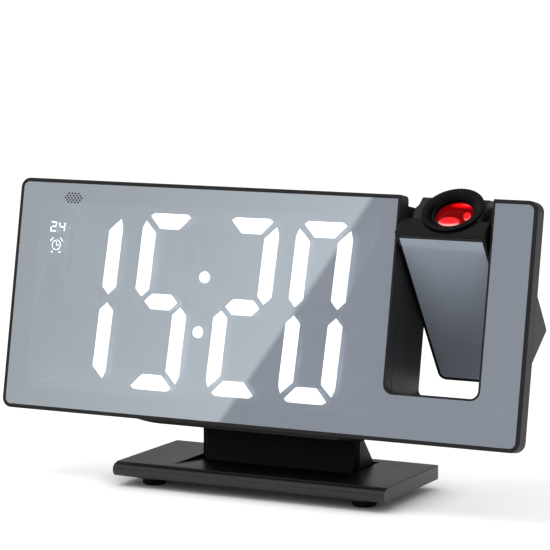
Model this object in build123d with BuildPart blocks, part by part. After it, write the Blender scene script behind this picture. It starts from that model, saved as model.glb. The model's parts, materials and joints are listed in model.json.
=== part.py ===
from build123d import *
import os
from math import cos, hypot, radians, sin, sqrt

# Projection alarm clock. A mirror-faced clock leans back on a wedge neck and a flat base, and a projector arm
# hangs in a slot in its right part. The arm turns on two pins, and its lens looks out of its upper end.
# Millimetres, +Z up, the face looks towards -Y. The origin is on the ground under the middle of the whole.

# ------------------------------------------------------------------ clock body
clock_width = 190.0
clock_height = 79.3  # along the face
face_tilt = 10.9  # degrees back from upright
face_lift = 15.2  # top of the base to the face's lower edge
outer_corner = 3.4
bezel_lip = 1.3  # visible frame round the mirror
slot_lip = 0.7  # the same beside the slot
bezel_ledge = 1.6  # hidden step that carries the mirror
bezel_depth = 5.2
bezel_round = 0.5
mirror_sink = 0.1
mirror_thickness = 2.0
flange_thickness = 2.0
flange_round = 1.9
housing_wall = 1.8
back_depth = 28.0  # face to the back of the rear housing
hump_reach = 109.8  # deep part's left end, from the slot
hump_past = 6.9  # its right end, past the slot
hump_drop = 3.0  # its upper edge, below the clock's
hump_low = 0.8
hump_corner = 6.0
hump_round = 3.5
saddle_drop = 1.0  # the saddle's underside, below the face's lower edge
saddle_edge = 8.5  # the saddle's left end, from the deep part's
saddle_right = 34.0
saddle_run = 18.0  # length of the curve that leads down to the saddle
fit_gap = 0.15  # between pieces that are assembled and stay put
move_gap = 0.3  # between a moving piece and what it passes

# ------------------------------------------------------------------ slot and projector arm
slot_strip = 15.2  # mirror and frame to the right of the slot
slot_width = 32.0
slot_corner = 2.6
arm_open = 46.3  # degrees out of the slot, as it stands
arm_side_gap = 0.7
arm_length = 65.5
arm_thickness = 25.2
arm_cover_depth = 7.0
arm_corner = 2.6
arm_rise = 2.5  # arm's top above the clock's when it is folded in
arm_wall = 1.6
arm_lip = 1.0
arm_lip_top = 1.6
arm_lip_low = 1.2
arm_skin = 1.0  # cover behind its mirror
arm_mirror_thickness = 1.2
arm_shoulder = 20.0  # the arm is narrower above this, beside its hinge barrels
arm_inset = 3.6
arm_back_chamfer = 7.9
arm_post_chamfer = 4.6
hinge_drop = 12.25  # hinge axis below the arm's top
hinge_back = 15.3  # hinge axis behind the arm's front
barrel_radius = 8.2
swing_gap = 0.4
pin_radius = 3.0
pin_clearance = 0.05
barrel_gap = 1.0  # between a hinge barrel and the slot's wall
pin_groove_radius = 2.4
pin_end = 0.6  # pin left outside its clip
wire_bore = 1.8
cable_radius = 0.7
bearing_boss = 0.8
bearing_boss_radius = 5.5
clip_radius = 4.6
clip_thickness = 0.7
clip_mouth = 3.0
washer_radius = 4.6
washer_thickness = 0.5
thrust_gap = 0.1

# ------------------------------------------------------------------ projector
lens_back = 11.2  # lens axis behind the arm's front
lens_side = 1.2  # lens axis to the right of the arm's middle
ring_radius = 10.3
ring_height = 0.6
ring_skirt = 5.0
ring_notches = 60
ring_notch = 0.2
cone_radius = 9.0
cone_depth = 1.2
tube_radius = 8.6
tube_wall = 0.65
skirt_wall = 0.65
focus_play = 0.05  # radial play of the ring and the barrel
barrel_wall = 0.6
barrel_step = 0.5
barrel_drop = 0.6  # below the arm's top, as are the lens and its retainer
barrel_length = 15.0
lens_low = 4.3
lens_edge = 2.0
lens_crown = 0.6
retainer_level = 1.65
retainer_height = 0.5
light_box_width = 17.0
light_box_top = 24.0  # below the arm's top
light_box_length = 22.0
light_box_wall = 1.2
light_box_mouth = 6.0
slide_thickness = 1.5
slide_level = 28.0
condenser_radius = 6.8
condenser_level = 36.0
condenser_rim = 1.5
condenser_bulge = 1.6
led_board_width = 20.0
led_board_thickness = 1.2
led_size = 4.0
led_height = 1.6
sink_height = 8.0
sink_base = 2.0
fin_count = 5
fin_thickness = 1.0
arm_button_level = 38.0
arm_button_radius = 3.0
arm_button_proud = 0.9
arm_button_flange = 0.9
arm_switch_radius = 2.5
arm_switch_height = 0.5

# ------------------------------------------------------------------ display
digit_bars = ("bc", "afgcd", "abged", "abcdef")  # 1 5 2 0
digit_margin = 9.9  # digits' ends to the clock's upper and lower edges
first_digit_edge = 19.1  # first digit, from the clock's left edge
last_digit_edge = 17.4  # last digit, from the slot
digit_spaces = (7.7, 10.3, 6.3)  # the colon is in the second
digit_slant = 0.04
digit_stroke = 5.2
digit_gap = 1.4
digit_corner = 4.0
digit_nose = 1.0
colon_half = 9.2
colon_radius = 1.95
sign_edge = 14.9  # small signs' middle, from the clock's left edge
hours_bars = ("abged", "fgbc")  # 2 4
hours_size = (2.5, 3.5, 0.5, 0.06, 0.3, 0.1)
hours_space = 0.9
hours_drop = 16.3  # below the clock's upper edge
bell_drop = 22.6
bell_radius = 1.8
bell_stroke = 0.3
bell_cap = (1.7, 0.4)
bell_cap_reach = 2.75
bell_cap_angle = 45.0
bell_foot_radius = 0.35
bell_foot_reach = 2.85
bell_foot_angle = -57.0
reflector_thickness = 1.9
diffuser_thickness = 1.0
board_thickness = 1.0
display_board_start = 7.0  # from the clock's left edge
display_board_gap = 7.8  # to the slot
display_board_edge = 5.5
chip_length = 1.6
chip_width = 1.0
chip_height = 0.6

# ------------------------------------------------------------------ electronics
main_board_depth = 17.0
main_board_thickness = 1.6
main_board_edge = 5.0  # inside the housing's deep part
main_board_gap = 5.8  # to the slot
main_board_low = 6.0
main_board_drop = 10.3  # below the deep part's upper edge
post_radius = 2.6
post_edge = 4.0
post_right = 6.0
post_right_low = 18.0
# places on the boards and the back are given as distance left of the slot, and height
processor_size = 14.0
processor_height = 1.6
processor_place = (65.8, 24.0)
regulator_size = (6.0, 5.0)
regulator_place = (37.8, 24.0)
header_size = (14.0, 4.0)
header_height = 2.5
header_place = (65.8, 50.0)
ribbon_width = 12.0
ribbon_thickness = 0.6
ribbon_bow = 2.5
plug_size = (3.0, 4.0)
plug_height = 3.0
plug_drop = 10.0  # hinge axis to the cable's plug
speaker_radius = 10.0
speaker_height = 4.0
magnet_radius = 6.5
magnet_height = 3.0
speaker_place = (25.8, 52.0)
speaker_hole = 0.9
speaker_rings = {4.0: 6, 7.2: 12}
button_radius = 3.5
button_proud = 1.2
button_travel = 0.8
button_flange = 1.0
button_flange_width = 0.9
button_stem = 1.5
press_room = 0.1  # left between stem and switch at the end of the travel
button_drop = 16.3  # below the deep part's upper edge
button_pitch = 12.0
button_reach = 81.8  # first button, from the slot
switch_size = 6.0
switch_height = 3.6
plunger_radius = 1.5
plunger_height = 0.8
snooze_length = 44.0
snooze_width = 9.0
snooze_corner = 2.0
snooze_reach = 55.8  # from the slot
snooze_depth = 17.0
snooze_proud = 1.4
snooze_flange = 1.2
snooze_flange_width = 1.6
snooze_switch_drop = 9.3  # below the deep part's upper edge
slider_place = (51.8, 40.0)
slider_size = (5.0, 3.2)
slider_travel = 2.0
slider_proud = 0.8
slider_plate = (15.0, 7.0)
slider_stem = (4.0, 1.8)
slider_reach = 1.4
slider_frame = (15.0, 7.0)
slider_frame_gap = 0.5
slider_trough = 2.0
inlet_place = (13.8, 34.0)
inlet_radius = 2.8
inlet_wall = 0.8
inlet_body = 9.0
inlet_bore_depth = 9.0
inlet_pin_radius = 0.65
socket_sink = 0.2
outlet_place = (13.8, 18.0)
outlet_size = (13.2, 5.7)
outlet_wall = 0.4
outlet_bore_depth = 8.6
tongue_size = (11.0, 1.9)
tongue_sink = 1.0
cell_place = (89.8, 34.0)
cell_radius = 10.0
cell_thickness = 3.2
cell_front = 21.6
cell_play = 0.2
cup_wall = 1.2
cup_floor = 1.4
cup_post = 4.0
contact_size = (14.0, 4.0)
contact_thickness = 0.4
lid_radius = 11.0
lid_clearance = 0.1
lug_reach = 1.2
lug_half = 15.0  # degrees
lug_play = 3.0  # degrees
lid_turn = 135.0  # degrees, where the housing's notches let the lugs through
lug_gap = 0.2
coin_slot = (12.0, 1.6)
coin_slot_depth = 1.0

# ------------------------------------------------------------------ stand
base_width = 100.0
base_front = 0.6  # from the face's lower edge, backwards
base_back = 43.0
base_thickness = 4.8
base_wall = 1.5
nose_reach = 2.5
nose_step = 0.35
base_corner = 0.8
base_hollow = 0.4  # hollow's front, behind the top's front edge
recess_room = 0.6  # beside the neck
recess_front = 4.5
recess_flat = 25.0
recess_back = 38.5
recess_depth = 1.6
neck_foot_front = 22.0
neck_foot_back = 35.9
neck_flange_front = 24.3
neck_inset = 20.6  # neck's sides, from the base's
neck_flange = 1.5
neck_wall = 2.2
neck_hollow_top = 6.0
neck_shoulder = 1.08  # top of the neck's back, behind the housing
neck_shoulder_up = -0.8
neck_plate = 2.2
neck_plate_half = 20.0
neck_plate_low = -3.0
neck_plate_top = 13.0
neck_cavity_lean = 0.7
flange_hug = 8.0  # degrees round the housing's lower rear edge, from below
core_hug = 22.0
back_hug = 60.0
ballast_thickness = 1.6
ballast_size = (10.0, 36.0)
ballast_middle = 22.0
ballast_edge = 13.4  # plates' middle, from the base's side
foot_radius = 4.0
foot_height = 3.2  # below the base
foot_seat = 0.3
foot_round = 0.9
foot_edge = 11.0
foot_rows = (7.4, 35.2)
foot_boss_radius = 6.2
foot_boss = 0.6

# ------------------------------------------------------------------ screws
short_screw = 2.9
long_screw = 6.5
screw_radius = 1.0
screw_head_radius = 1.9
screw_head = 1.2
screw_cross = 0.5
screw_pass = 1.15  # hole that a screw passes freely
screw_sink = 2.05
screw_boss_radius = 2.6
housing_screw_edge = 5.4
housing_screw_spots = [
    (side * (clock_width / 2 - housing_screw_edge), height)
    for side in (-1, 1)
    for height in (housing_screw_edge, clock_height - housing_screw_edge)
]
neck_screw_spots = [(-13.0, 7.5), (13.0, 7.5)]
neck_post_depth = 6.2
arm_screw_half = 12.0
arm_screw_up = 7.5  # above the arm's bottom
arm_screw_length = 8.0
arm_post_radius = 3.1
arm_well_floor = 12.0
base_screw_edge = 5.0
base_screw_rows = (14.0, 29.0)
foot_screw_spots = [(-18.0, 29.2), (18.0, 29.2)]
foot_post_top = 5.0
foot_screw_access = 2.4

# ------------------------------------------------------------------ the shared frame
tilt = radians(face_tilt)
lean = radians(arm_open - face_tilt)
face_up = Vector(0, sin(tilt), cos(tilt))
face_back = Vector(0, cos(tilt), -sin(tilt))
arm_up = Vector(0, -sin(lean), cos(lean))
arm_back = Vector(0, cos(lean), sin(lean))

hinge_up = clock_height + arm_rise - hinge_drop
hinge_from_face = face_up * hinge_up + face_back * hinge_back
arm_heel = hinge_from_face - arm_up * (arm_length - hinge_drop) + arm_back * (arm_thickness - hinge_back)
middle_back = (base_front - nose_reach + arm_heel.Y) / 2

base_top = base_thickness + foot_height
face_foot = Vector(0, -middle_back, base_top + face_lift)
hinge_point = face_foot + hinge_from_face
slot_right = clock_width / 2 - slot_strip
slot_left = slot_right - slot_width
slot_middle = slot_left + slot_width / 2
arm_width = slot_width - 2 * arm_side_gap
arm_top = hinge_point + Vector(slot_middle, 0, 0) + arm_up * hinge_drop - arm_back * hinge_back
swing_radius = hypot(arm_length - hinge_drop, max(hinge_back, arm_thickness - hinge_back)) + swing_gap
barrel_face = arm_width / 2 - arm_inset - arm_wall  # inside the arm's upper side wall
bearing_face = slot_width / 2 + housing_wall + bearing_boss  # from the arm's middle
washer_face = bearing_face + thrust_gap
clip_face = washer_face + washer_thickness
clip_end = clip_face + clip_thickness
pin_face = clip_end + pin_end
slot_floor = hinge_up - sqrt(swing_radius**2 - hinge_back**2)
mirror_back = mirror_sink + mirror_thickness
reflector_back = mirror_back + reflector_thickness
board_back = main_board_depth + main_board_thickness
corner_notch = 2 * (screw_boss_radius + fit_gap)
flange_back = bezel_depth + flange_thickness
wall_inside = back_depth - housing_wall
hump_left = slot_left - hump_reach
hump_right = slot_right + hump_past
hump_top = clock_height - hump_drop
saddle_left = hump_left + saddle_edge
neck_flange_half = saddle_half = base_width / 2 - neck_inset
recess_half = neck_flange_half + recess_room
base_screw_across = base_width / 2 - base_screw_edge
base_screw_spots = [(side * base_screw_across, row) for side in (-1, 1) for row in base_screw_rows]
foot_spots = [(side * (base_width / 2 - foot_edge), row) for side in (-1, 1) for row in foot_rows]

digit_height = clock_height - 2 * digit_margin
digit_middle = clock_height / 2
digits_left = first_digit_edge - clock_width / 2
digits_right = slot_left - last_digit_edge
digit_width = (digits_right - digits_left - sum(digit_spaces)) / len(digit_bars)
digit_size = (digit_width, digit_height, digit_stroke, digit_gap, digit_corner, digit_nose)
digit_centres = [
    digits_left + digit_width / 2 + place * digit_width + sum(digit_spaces[:place])
    for place in range(len(digit_bars))
]
colon_centre = (digit_centres[1] + digit_centres[2]) / 2
sign_middle = sign_edge - clock_width / 2
display_board_left = display_board_start - clock_width / 2
display_board_right = slot_left - display_board_gap

main_board_left = hump_left + main_board_edge
main_board_right = slot_left - main_board_gap
main_board_high = hump_top - main_board_drop
post_low, post_high = main_board_low + post_edge, main_board_high - post_edge
post_spots = [
    (main_board_left + post_edge, post_low),
    (main_board_left + post_edge, post_high),
    (main_board_right - post_right, post_high),
    (main_board_right - post_right_low, post_low),
]
snooze_centre = slot_left - snooze_reach
snooze_switch_top = hump_top - snooze_switch_drop


def from_slot(place):
    """A spot on the face's plane, from its distance left of the slot and its height."""
    reach, height = place
    return slot_left - reach, height


processor_spot, regulator_spot, header_spot = map(from_slot, (processor_place, regulator_place, header_place))
speaker_spot, slider_spot, cell_spot = map(from_slot, (speaker_place, slider_place, cell_place))
inlet_spot, outlet_spot = map(from_slot, (inlet_place, outlet_place))


def behind_face(depth):
    """Plane behind the face: x to the right, y up the face, normal out to the front."""
    return Plane(origin=face_foot + face_back * depth, x_dir=(1, 0, 0), z_dir=face_back * -1)


def hinge_side(x):
    """Plane across the hinge axis: x backwards, y up the face."""
    return Plane(origin=hinge_point + Vector(x, 0, 0), x_dir=face_back, z_dir=(1, 0, 0))


def along_face(height):
    """Plane across the face's height: x to the right, y backwards, normal up the face."""
    return Plane(origin=face_foot + face_up * height, x_dir=(1, 0, 0), z_dir=face_up)


def behind_arm(depth):
    """Plane behind the arm's front: x to the right, y up the arm, both from its top middle."""
    return Plane(origin=arm_top + arm_back * depth, x_dir=(1, 0, 0), z_dir=arm_back * -1)


def along_arm(drop):
    """Plane across the arm below its top: x to the right, y backwards, normal up the arm."""
    return Plane(origin=arm_top - arm_up * drop, x_dir=(1, 0, 0), z_dir=arm_up)


def beside_arm(x):
    """Plane along the arm: x backwards, y up the arm, both from its top front edge."""
    return Plane(origin=arm_top + Vector(x, 0, 0), x_dir=arm_back, z_dir=(1, 0, 0))


def above_base(height):
    """Level plane: x to the right, y backwards from the face's lower edge."""
    return Plane(origin=(0, -middle_back, base_top + height))


def beside_base(x):
    """Upright plane: x backwards from the face's lower edge, y up from the base's top."""
    return Plane(origin=(x, -middle_back, base_top), x_dir=(0, 1, 0), z_dir=(1, 0, 0))


def clock_outline(inset):
    """The body's front outline, inset from its edge, and from the slot by as much less the lips' step."""
    with Locations((0, clock_height / 2)):
        corner = max(outer_corner - inset, bezel_round)
        RectangleRounded(clock_width - 2 * inset, clock_height - 2 * inset, corner)
    slot_tall = 2 * clock_height
    margin = inset - bezel_lip + slot_lip
    with Locations((slot_middle, slot_floor - margin + slot_tall / 2)):
        RectangleRounded(slot_width + 2 * margin, slot_tall, slot_corner + margin, mode=Mode.SUBTRACT)


def hump_outline(inset):
    """The outline of the housing's deep part, whose lower edge swells down to the neck's saddle."""
    left, right = hump_left + inset, hump_right - inset
    low, high, saddle = hump_low + inset, hump_top - inset, inset - saddle_drop
    middle = (low + saddle) / 2
    with Locations(((left + right) / 2, (low + high) / 2)):
        RectangleRounded(right - left, high - low, hump_corner - inset)
    with BuildLine() as swell:
        Polyline(
            (saddle_left, low), (saddle_left, low + hump_corner),
            (saddle_right, low + hump_corner), (saddle_right, low),
        )
        Spline(
            (saddle_right, low), ((saddle_right + saddle_half) / 2, middle), (saddle_half, saddle),
            tangents=((-1, 0), (-1, 0)),
        )
        Line((saddle_half, saddle), (saddle_left + saddle_run, saddle))
        Spline(
            (saddle_left + saddle_run, saddle), (saddle_left + saddle_run / 2, middle), (saddle_left, low),
            tangents=((-1, 0), (-1, 0)),
        )
    make_face(swell.edges())


def slot_space(margin):
    """The room in which the arm swings, grown by margin, as a drum about the hinge axis."""
    with BuildPart() as drum:
        with BuildSketch(hinge_side(slot_left - margin)):
            Circle(swing_radius + margin)
        extrude(amount=slot_width + 2 * margin)
        rim = drum.edges().filter_by(GeomType.CIRCLE)
        fillet(rim, slot_corner + margin)
    return drum.part


def bar_corners(bar, size):
    """The corners of one bar of a digit of that size, about the digit's middle."""
    width, height, stroke, gap, corner, nose = size
    half, tall = width / 2, height / 2
    if bar == "g":
        tip, flat, edge = half - stroke / 2 - gap, half - stroke - gap, stroke / 2
        return [(tip, 0), (flat, edge), (-flat, edge), (-tip, 0), (-flat, -edge), (flat, -edge)]
    if bar in "ad":
        right = [
            (half - stroke - gap, tall - stroke),
            (half - corner + nose * sqrt(2), tall - nose),
            (half - corner, tall),
        ]
        corners = right + [(-x, y) for x, y in reversed(right)]
    else:
        corners = [
            (half - nose, tall - corner + nose * sqrt(2)),
            (half, tall - stroke),
            (half, stroke / 2 + gap),
            (half - stroke / 2, gap),
            (half - stroke, stroke / 2 + gap),
            (half - stroke, tall - stroke - gap),
        ]
    side = -1 if bar in "ef" else 1
    level = -1 if bar in "cde" else 1
    return [(side * x, level * y) for x, y in corners]


def draw_bars(bars, centre, middle, size):
    """Bars of one leaning digit, as faces of the current sketch."""
    for bar in bars:
        corners = [(centre + x + digit_slant * y, middle + y) for x, y in bar_corners(bar, size)]
        Polygon(*corners, align=None)


def draw_indicators():
    """The small lit signs at the upper left: a plain 24 and an alarm bell clock."""
    half_pitch = (hours_size[0] + hours_space) / 2
    for side, bars in zip((-1, 1), hours_bars):
        draw_bars(bars, sign_middle + side * half_pitch, clock_height - hours_drop, hours_size)
    x, y = sign_middle, clock_height - bell_drop
    with Locations((x, y)):
        Circle(bell_radius)
        Circle(bell_radius - bell_stroke, mode=Mode.SUBTRACT)
    with Locations((x, y - bell_radius)):
        Rectangle(bell_stroke, 3 * bell_stroke, mode=Mode.SUBTRACT)
    hand = bell_radius - 2 * bell_stroke
    with Locations((x, y + hand / 2)):
        Rectangle(bell_stroke, hand)
    with Locations((x + hand / 2, y)):
        Rectangle(hand, bell_stroke)
    cap, foot = radians(bell_cap_angle), radians(bell_foot_angle)
    for side in (-1, 1):
        middle = (x + side * bell_cap_reach * cos(cap), y + bell_cap_reach * sin(cap))
        with Locations(Location(middle, -side * bell_cap_angle)):
            SlotOverall(*bell_cap)
        with Locations((x + side * bell_foot_reach * cos(foot), y + bell_foot_reach * sin(foot))):
            Circle(bell_foot_radius)


def draw_lit():
    """All lit bars and the colon of the time display."""
    for centre, bars in zip(digit_centres, digit_bars):
        draw_bars(bars, centre, digit_middle, digit_size)
    for side in (-1, 1):
        with Locations((colon_centre + digit_slant * side * colon_half, digit_middle + side * colon_half)):
            Circle(colon_radius)


def draw_unlit():
    """The bars of the time display that stay dark."""
    for centre, bars in zip(digit_centres, digit_bars):
        draw_bars([bar for bar in "abcdefg" if bar not in bars], centre, digit_middle, digit_size)


def screw_group(plane, spots, length, side=1):
    """Cross-head screws with the undersides of their heads on the plane, and the heads on the side given."""
    with BuildPart() as group:
        with BuildSketch(plane):
            with Locations(*spots):
                Circle(screw_head_radius)
        extrude(amount=side * screw_head)
        crowns = group.faces().sort_by(Axis(plane.origin, plane.z_dir * side))[-len(spots):]
        fillet(crowns.edges(), screw_head / 3)
        with BuildSketch(plane):
            with Locations(*spots):
                Circle(screw_radius)
        extrude(amount=-side * length)
        with BuildSketch(plane.offset(side * screw_head)):
            with Locations(*spots):
                Rectangle(2 * screw_radius, screw_cross)
                Rectangle(screw_cross, 2 * screw_radius)
        extrude(amount=-side * screw_cross, mode=Mode.SUBTRACT)
    return group


def bar_middle(bar):
    """The middle of one bar of a digit, about the digit's middle."""
    corners = bar_corners(bar, digit_size)
    x = sum(x for x, y in corners) / len(corners)
    y = sum(y for x, y in corners) / len(corners)
    return x, y


def on_base(depth, height):
    """A point given behind and up the face, as distances back from its lower edge and above the base."""
    return (
        depth * cos(tilt) + height * sin(tilt),
        face_lift + height * cos(tilt) - depth * sin(tilt),
    )


def arm_outline(side, top, bottom, corner):
    """The arm's front outline with its lower corners rounded, drawn inside its edges."""
    width, height = arm_width - 2 * side, arm_length - top - bottom
    with Locations((0, -top - height / 2)):
        RectangleRounded(width, height, corner)
    with Locations((0, -top - corner)):
        Rectangle(width, 2 * corner)


def arm_block(inset):
    """The arm's rear part as a solid, inside its faces: narrow beside the barrels, chamfered behind them."""
    side_face = arm_width / 2 - arm_inset
    top_cut = arm_back_chamfer + inset * sqrt(2)
    post_cut = arm_post_chamfer + inset * sqrt(2)
    with BuildPart() as block:
        with BuildSketch(behind_arm(arm_cover_depth)):
            arm_outline(inset, inset, inset, arm_corner - inset)
        extrude(amount=arm_cover_depth - arm_thickness + inset)
        with BuildSketch(behind_arm(arm_cover_depth)):
            with Locations((-arm_width / 2, 0), (arm_width / 2, 0)):
                Rectangle(2 * (arm_inset + inset), 2 * (arm_shoulder + inset))
        extrude(amount=-arm_thickness, mode=Mode.SUBTRACT)
        with BuildSketch(beside_arm(-arm_width / 2)):
            Polygon(
                (arm_thickness - top_cut - 1, 1),
                (arm_thickness + 1, 1),
                (arm_thickness + 1, -top_cut - 1),
                align=None,
            )
        extrude(amount=arm_width, mode=Mode.SUBTRACT)
        with BuildSketch(along_arm(0)):
            for side in (-1, 1):
                Polygon(
                    (side * (side_face - post_cut - 1), arm_thickness + 1),
                    (side * (side_face + 1), arm_thickness + 1),
                    (side * (side_face + 1), arm_thickness - post_cut - 1),
                    align=None,
                )
        extrude(amount=-arm_shoulder - inset, mode=Mode.SUBTRACT)
    return block.part


def save(piece, name):
    """Label one piece and write it as parts/name.step."""
    piece.part.label = name
    export_step(piece.part, f"parts/{name}.step")


os.makedirs("parts", exist_ok=True)
slot_cut = slot_space(0)
slot_walls = slot_space(housing_wall)

# ================================================================== front of the clock
with BuildPart() as front_bezel:
    with BuildSketch(behind_face(0)):
        with Locations((0, clock_height / 2)):
            RectangleRounded(clock_width, clock_height, outer_corner)
    extrude(amount=-bezel_depth)
    fillet(front_bezel.faces().sort_by(Axis(face_foot, face_back))[0].edges(), bezel_round)
    with BuildSketch(behind_face(0)):
        clock_outline(bezel_lip)
    extrude(amount=-mirror_back, mode=Mode.SUBTRACT)
    with BuildSketch(behind_face(0)):
        clock_outline(bezel_lip + bezel_ledge)
    extrude(amount=-bezel_depth, mode=Mode.SUBTRACT)
    add(slot_cut, mode=Mode.SUBTRACT)
    with BuildSketch(behind_face(mirror_back)):
        with Locations(*housing_screw_spots):
            Rectangle(2 * screw_boss_radius, 2 * screw_boss_radius)
            Circle(screw_radius, mode=Mode.SUBTRACT)
    extrude(amount=mirror_back - bezel_depth)
save(front_bezel, "front_bezel")

with BuildPart() as mirror_panel:
    with BuildSketch(behind_face(mirror_sink)):
        clock_outline(bezel_lip + fit_gap / 3)
    extrude(amount=-mirror_thickness)
save(mirror_panel, "mirror_panel")

with BuildPart() as segment_reflector:
    with BuildSketch(behind_face(mirror_back)):
        clock_outline(bezel_lip + bezel_ledge + fit_gap)
        with Locations(*housing_screw_spots):
            Rectangle(corner_notch, corner_notch, mode=Mode.SUBTRACT)
    extrude(amount=-reflector_thickness)
    with BuildSketch(behind_face(mirror_back)):
        draw_lit()
        draw_unlit()
        draw_indicators()
    extrude(amount=-reflector_thickness, mode=Mode.SUBTRACT)
save(segment_reflector, "segment_reflector")

with BuildPart() as lit_segments:
    with BuildSketch(behind_face(mirror_back)):
        draw_lit()
    extrude(amount=-diffuser_thickness)
save(lit_segments, "lit_segments")

with BuildPart() as unlit_segments:
    with BuildSketch(behind_face(mirror_back)):
        draw_unlit()
    extrude(amount=-diffuser_thickness)
save(unlit_segments, "unlit_segments")

with BuildPart() as indicator_lights:
    with BuildSketch(behind_face(mirror_back)):
        draw_indicators()
    extrude(amount=-diffuser_thickness)
save(indicator_lights, "indicator_lights")

with BuildPart() as display_board:
    board_low, board_high = display_board_edge, clock_height - display_board_edge
    with BuildSketch(behind_face(reflector_back)):
        with Locations(((display_board_left + display_board_right) / 2, (board_low + board_high) / 2)):
            Rectangle(display_board_right - display_board_left, board_high - board_low)
        with Locations(*housing_screw_spots):
            Rectangle(corner_notch, corner_notch, mode=Mode.SUBTRACT)
    extrude(amount=-board_thickness)
save(display_board, "display_board")

chip_spots = []
for digit_centre in digit_centres:
    for bar in "abcdefg":
        bar_x, bar_y = bar_middle(bar)
        spread = digit_stroke / 2
        across, along = (spread, 0) if bar in "adg" else (0, spread)
        for end in (-1, 1):
            chip_y = bar_y + end * along
            chip_x = bar_x + end * across + digit_slant * chip_y
            chip_spots.append((digit_centre + chip_x, digit_middle + chip_y))
for end in (-1, 1):
    chip_spots.append((colon_centre + digit_slant * end * colon_half, digit_middle + end * colon_half))
with BuildPart() as display_chips:
    with BuildSketch(behind_face(reflector_back - chip_height)):
        with Locations(*chip_spots):
            Rectangle(chip_length, chip_width)
    extrude(amount=-chip_height)
save(display_chips, "display_chips")

# ================================================================== rear housing and what it carries
button_spots = {
    name: (slot_left - button_reach + step * button_pitch, hump_top - button_drop)
    for step, name in enumerate(("set_button", "up_button", "down_button", "alarm_button"))
}

with BuildPart() as housing_cavity:
    with BuildSketch(behind_face(bezel_depth)):
        hump_outline(housing_wall)
    extrude(amount=bezel_depth - wall_inside)
    add(slot_walls, mode=Mode.SUBTRACT)

with BuildPart() as rear_housing:
    with BuildSketch(behind_face(bezel_depth)):
        with Locations((0, clock_height / 2)):
            RectangleRounded(clock_width, clock_height, outer_corner)
    extrude(amount=-flange_thickness)
    fillet(rear_housing.faces().sort_by(Axis(face_foot, face_back))[-1].edges(), flange_round)
    with BuildSketch(behind_face(bezel_depth)):
        hump_outline(0)
    extrude(amount=bezel_depth - back_depth)
    back_face = rear_housing.faces().sort_by(Axis(face_foot, face_back))[-1]
    fillet(back_face.edges(), hump_round)
    add(housing_cavity.part, mode=Mode.SUBTRACT)
    # posts for the main board and the neck's screws
    with BuildSketch(behind_face(wall_inside)):
        with Locations(*post_spots):
            Circle(post_radius)
    extrude(amount=wall_inside - main_board_depth - main_board_thickness)
    with BuildSketch(behind_face(wall_inside)):
        with Locations(*neck_screw_spots):
            Circle(post_radius)
    extrude(amount=neck_post_depth)
    with BuildSketch(behind_face(back_depth)):
        with Locations(*neck_screw_spots):
            Circle(screw_radius)
    extrude(amount=long_screw, mode=Mode.SUBTRACT)
    with BuildSketch(behind_face(main_board_depth + main_board_thickness)):
        with Locations(*post_spots):
            Circle(screw_radius)
    extrude(amount=main_board_thickness - long_screw, mode=Mode.SUBTRACT)
    # bearings of the arm's pins
    bearings = ((slot_left - housing_wall, -bearing_boss), (slot_right + housing_wall, bearing_boss))
    for start, reach in bearings:
        with BuildSketch(hinge_side(start)):
            Circle(bearing_boss_radius)
        extrude(amount=reach)
    for radius, face in ((clip_radius, clip_end), (pin_radius, pin_face)):
        with BuildSketch(hinge_side(slot_middle + bearing_face)):
            Circle(radius + move_gap)
        extrude(amount=face + fit_gap - bearing_face, mode=Mode.SUBTRACT)
    add(slot_cut, mode=Mode.SUBTRACT)
    with BuildSketch(hinge_side(slot_left - housing_wall - bearing_boss)):
        Circle(pin_radius + pin_clearance)
    extrude(amount=slot_width + 2 * (housing_wall + bearing_boss), mode=Mode.SUBTRACT)
    # openings for the buttons, the switch, the sockets, the speaker and the cell's lid
    with BuildSketch(behind_face(back_depth)):
        with Locations(*button_spots.values()):
            Circle(button_radius + move_gap)
        with Locations(slider_spot):
            Rectangle(slider_size[0] + 2 * (slider_travel + move_gap), slider_size[1] + 2 * move_gap)
        with Locations(inlet_spot):
            Circle(inlet_radius + inlet_wall + fit_gap)
        with Locations(outlet_spot):
            Rectangle(outlet_size[0] + 2 * fit_gap, outlet_size[1] + 2 * fit_gap)
        with Locations(speaker_spot):
            Circle(speaker_hole)
            for reach, count in speaker_rings.items():
                with PolarLocations(reach, count):
                    Circle(speaker_hole)
        with Locations(cell_spot):
            Circle(lid_radius + lid_clearance)
    extrude(amount=housing_wall, mode=Mode.SUBTRACT)
    with BuildSketch(behind_face(back_depth)):
        with BuildLine():
            notch_reach = lid_radius + lug_reach + lug_gap
            notch_half = lug_half + lug_play
            start = Vector(*cell_spot) + Vector(notch_reach, 0).rotate(Axis.Z, lid_turn - notch_half)
            stop = Vector(*cell_spot) + Vector(notch_reach, 0).rotate(Axis.Z, lid_turn + notch_half)
            crest = Vector(*cell_spot) + Vector(notch_reach, 0).rotate(Axis.Z, lid_turn)
            Line(cell_spot, start)
            ThreePointArc(start, crest, stop)
            Line(stop, cell_spot)
        make_face()
        mirror(about=Plane(origin=(cell_spot[0], cell_spot[1], 0), z_dir=(-1, 1, 0)))
    extrude(amount=housing_wall, mode=Mode.SUBTRACT)
    with BuildSketch(along_face(hump_top)):
        with Locations((snooze_centre, snooze_depth)):
            RectangleRounded(snooze_length + 2 * move_gap, snooze_width + 2 * move_gap, snooze_corner)
    extrude(amount=-housing_wall, mode=Mode.SUBTRACT)
    with BuildSketch(behind_face(flange_back)):
        with Locations(*housing_screw_spots):
            Circle(screw_pass)
    extrude(amount=flange_thickness, mode=Mode.SUBTRACT)
    with BuildSketch(behind_face(flange_back)):
        with Locations(*housing_screw_spots):
            Circle(screw_sink)
    extrude(amount=screw_head, mode=Mode.SUBTRACT)
save(rear_housing, "rear_housing")

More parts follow.
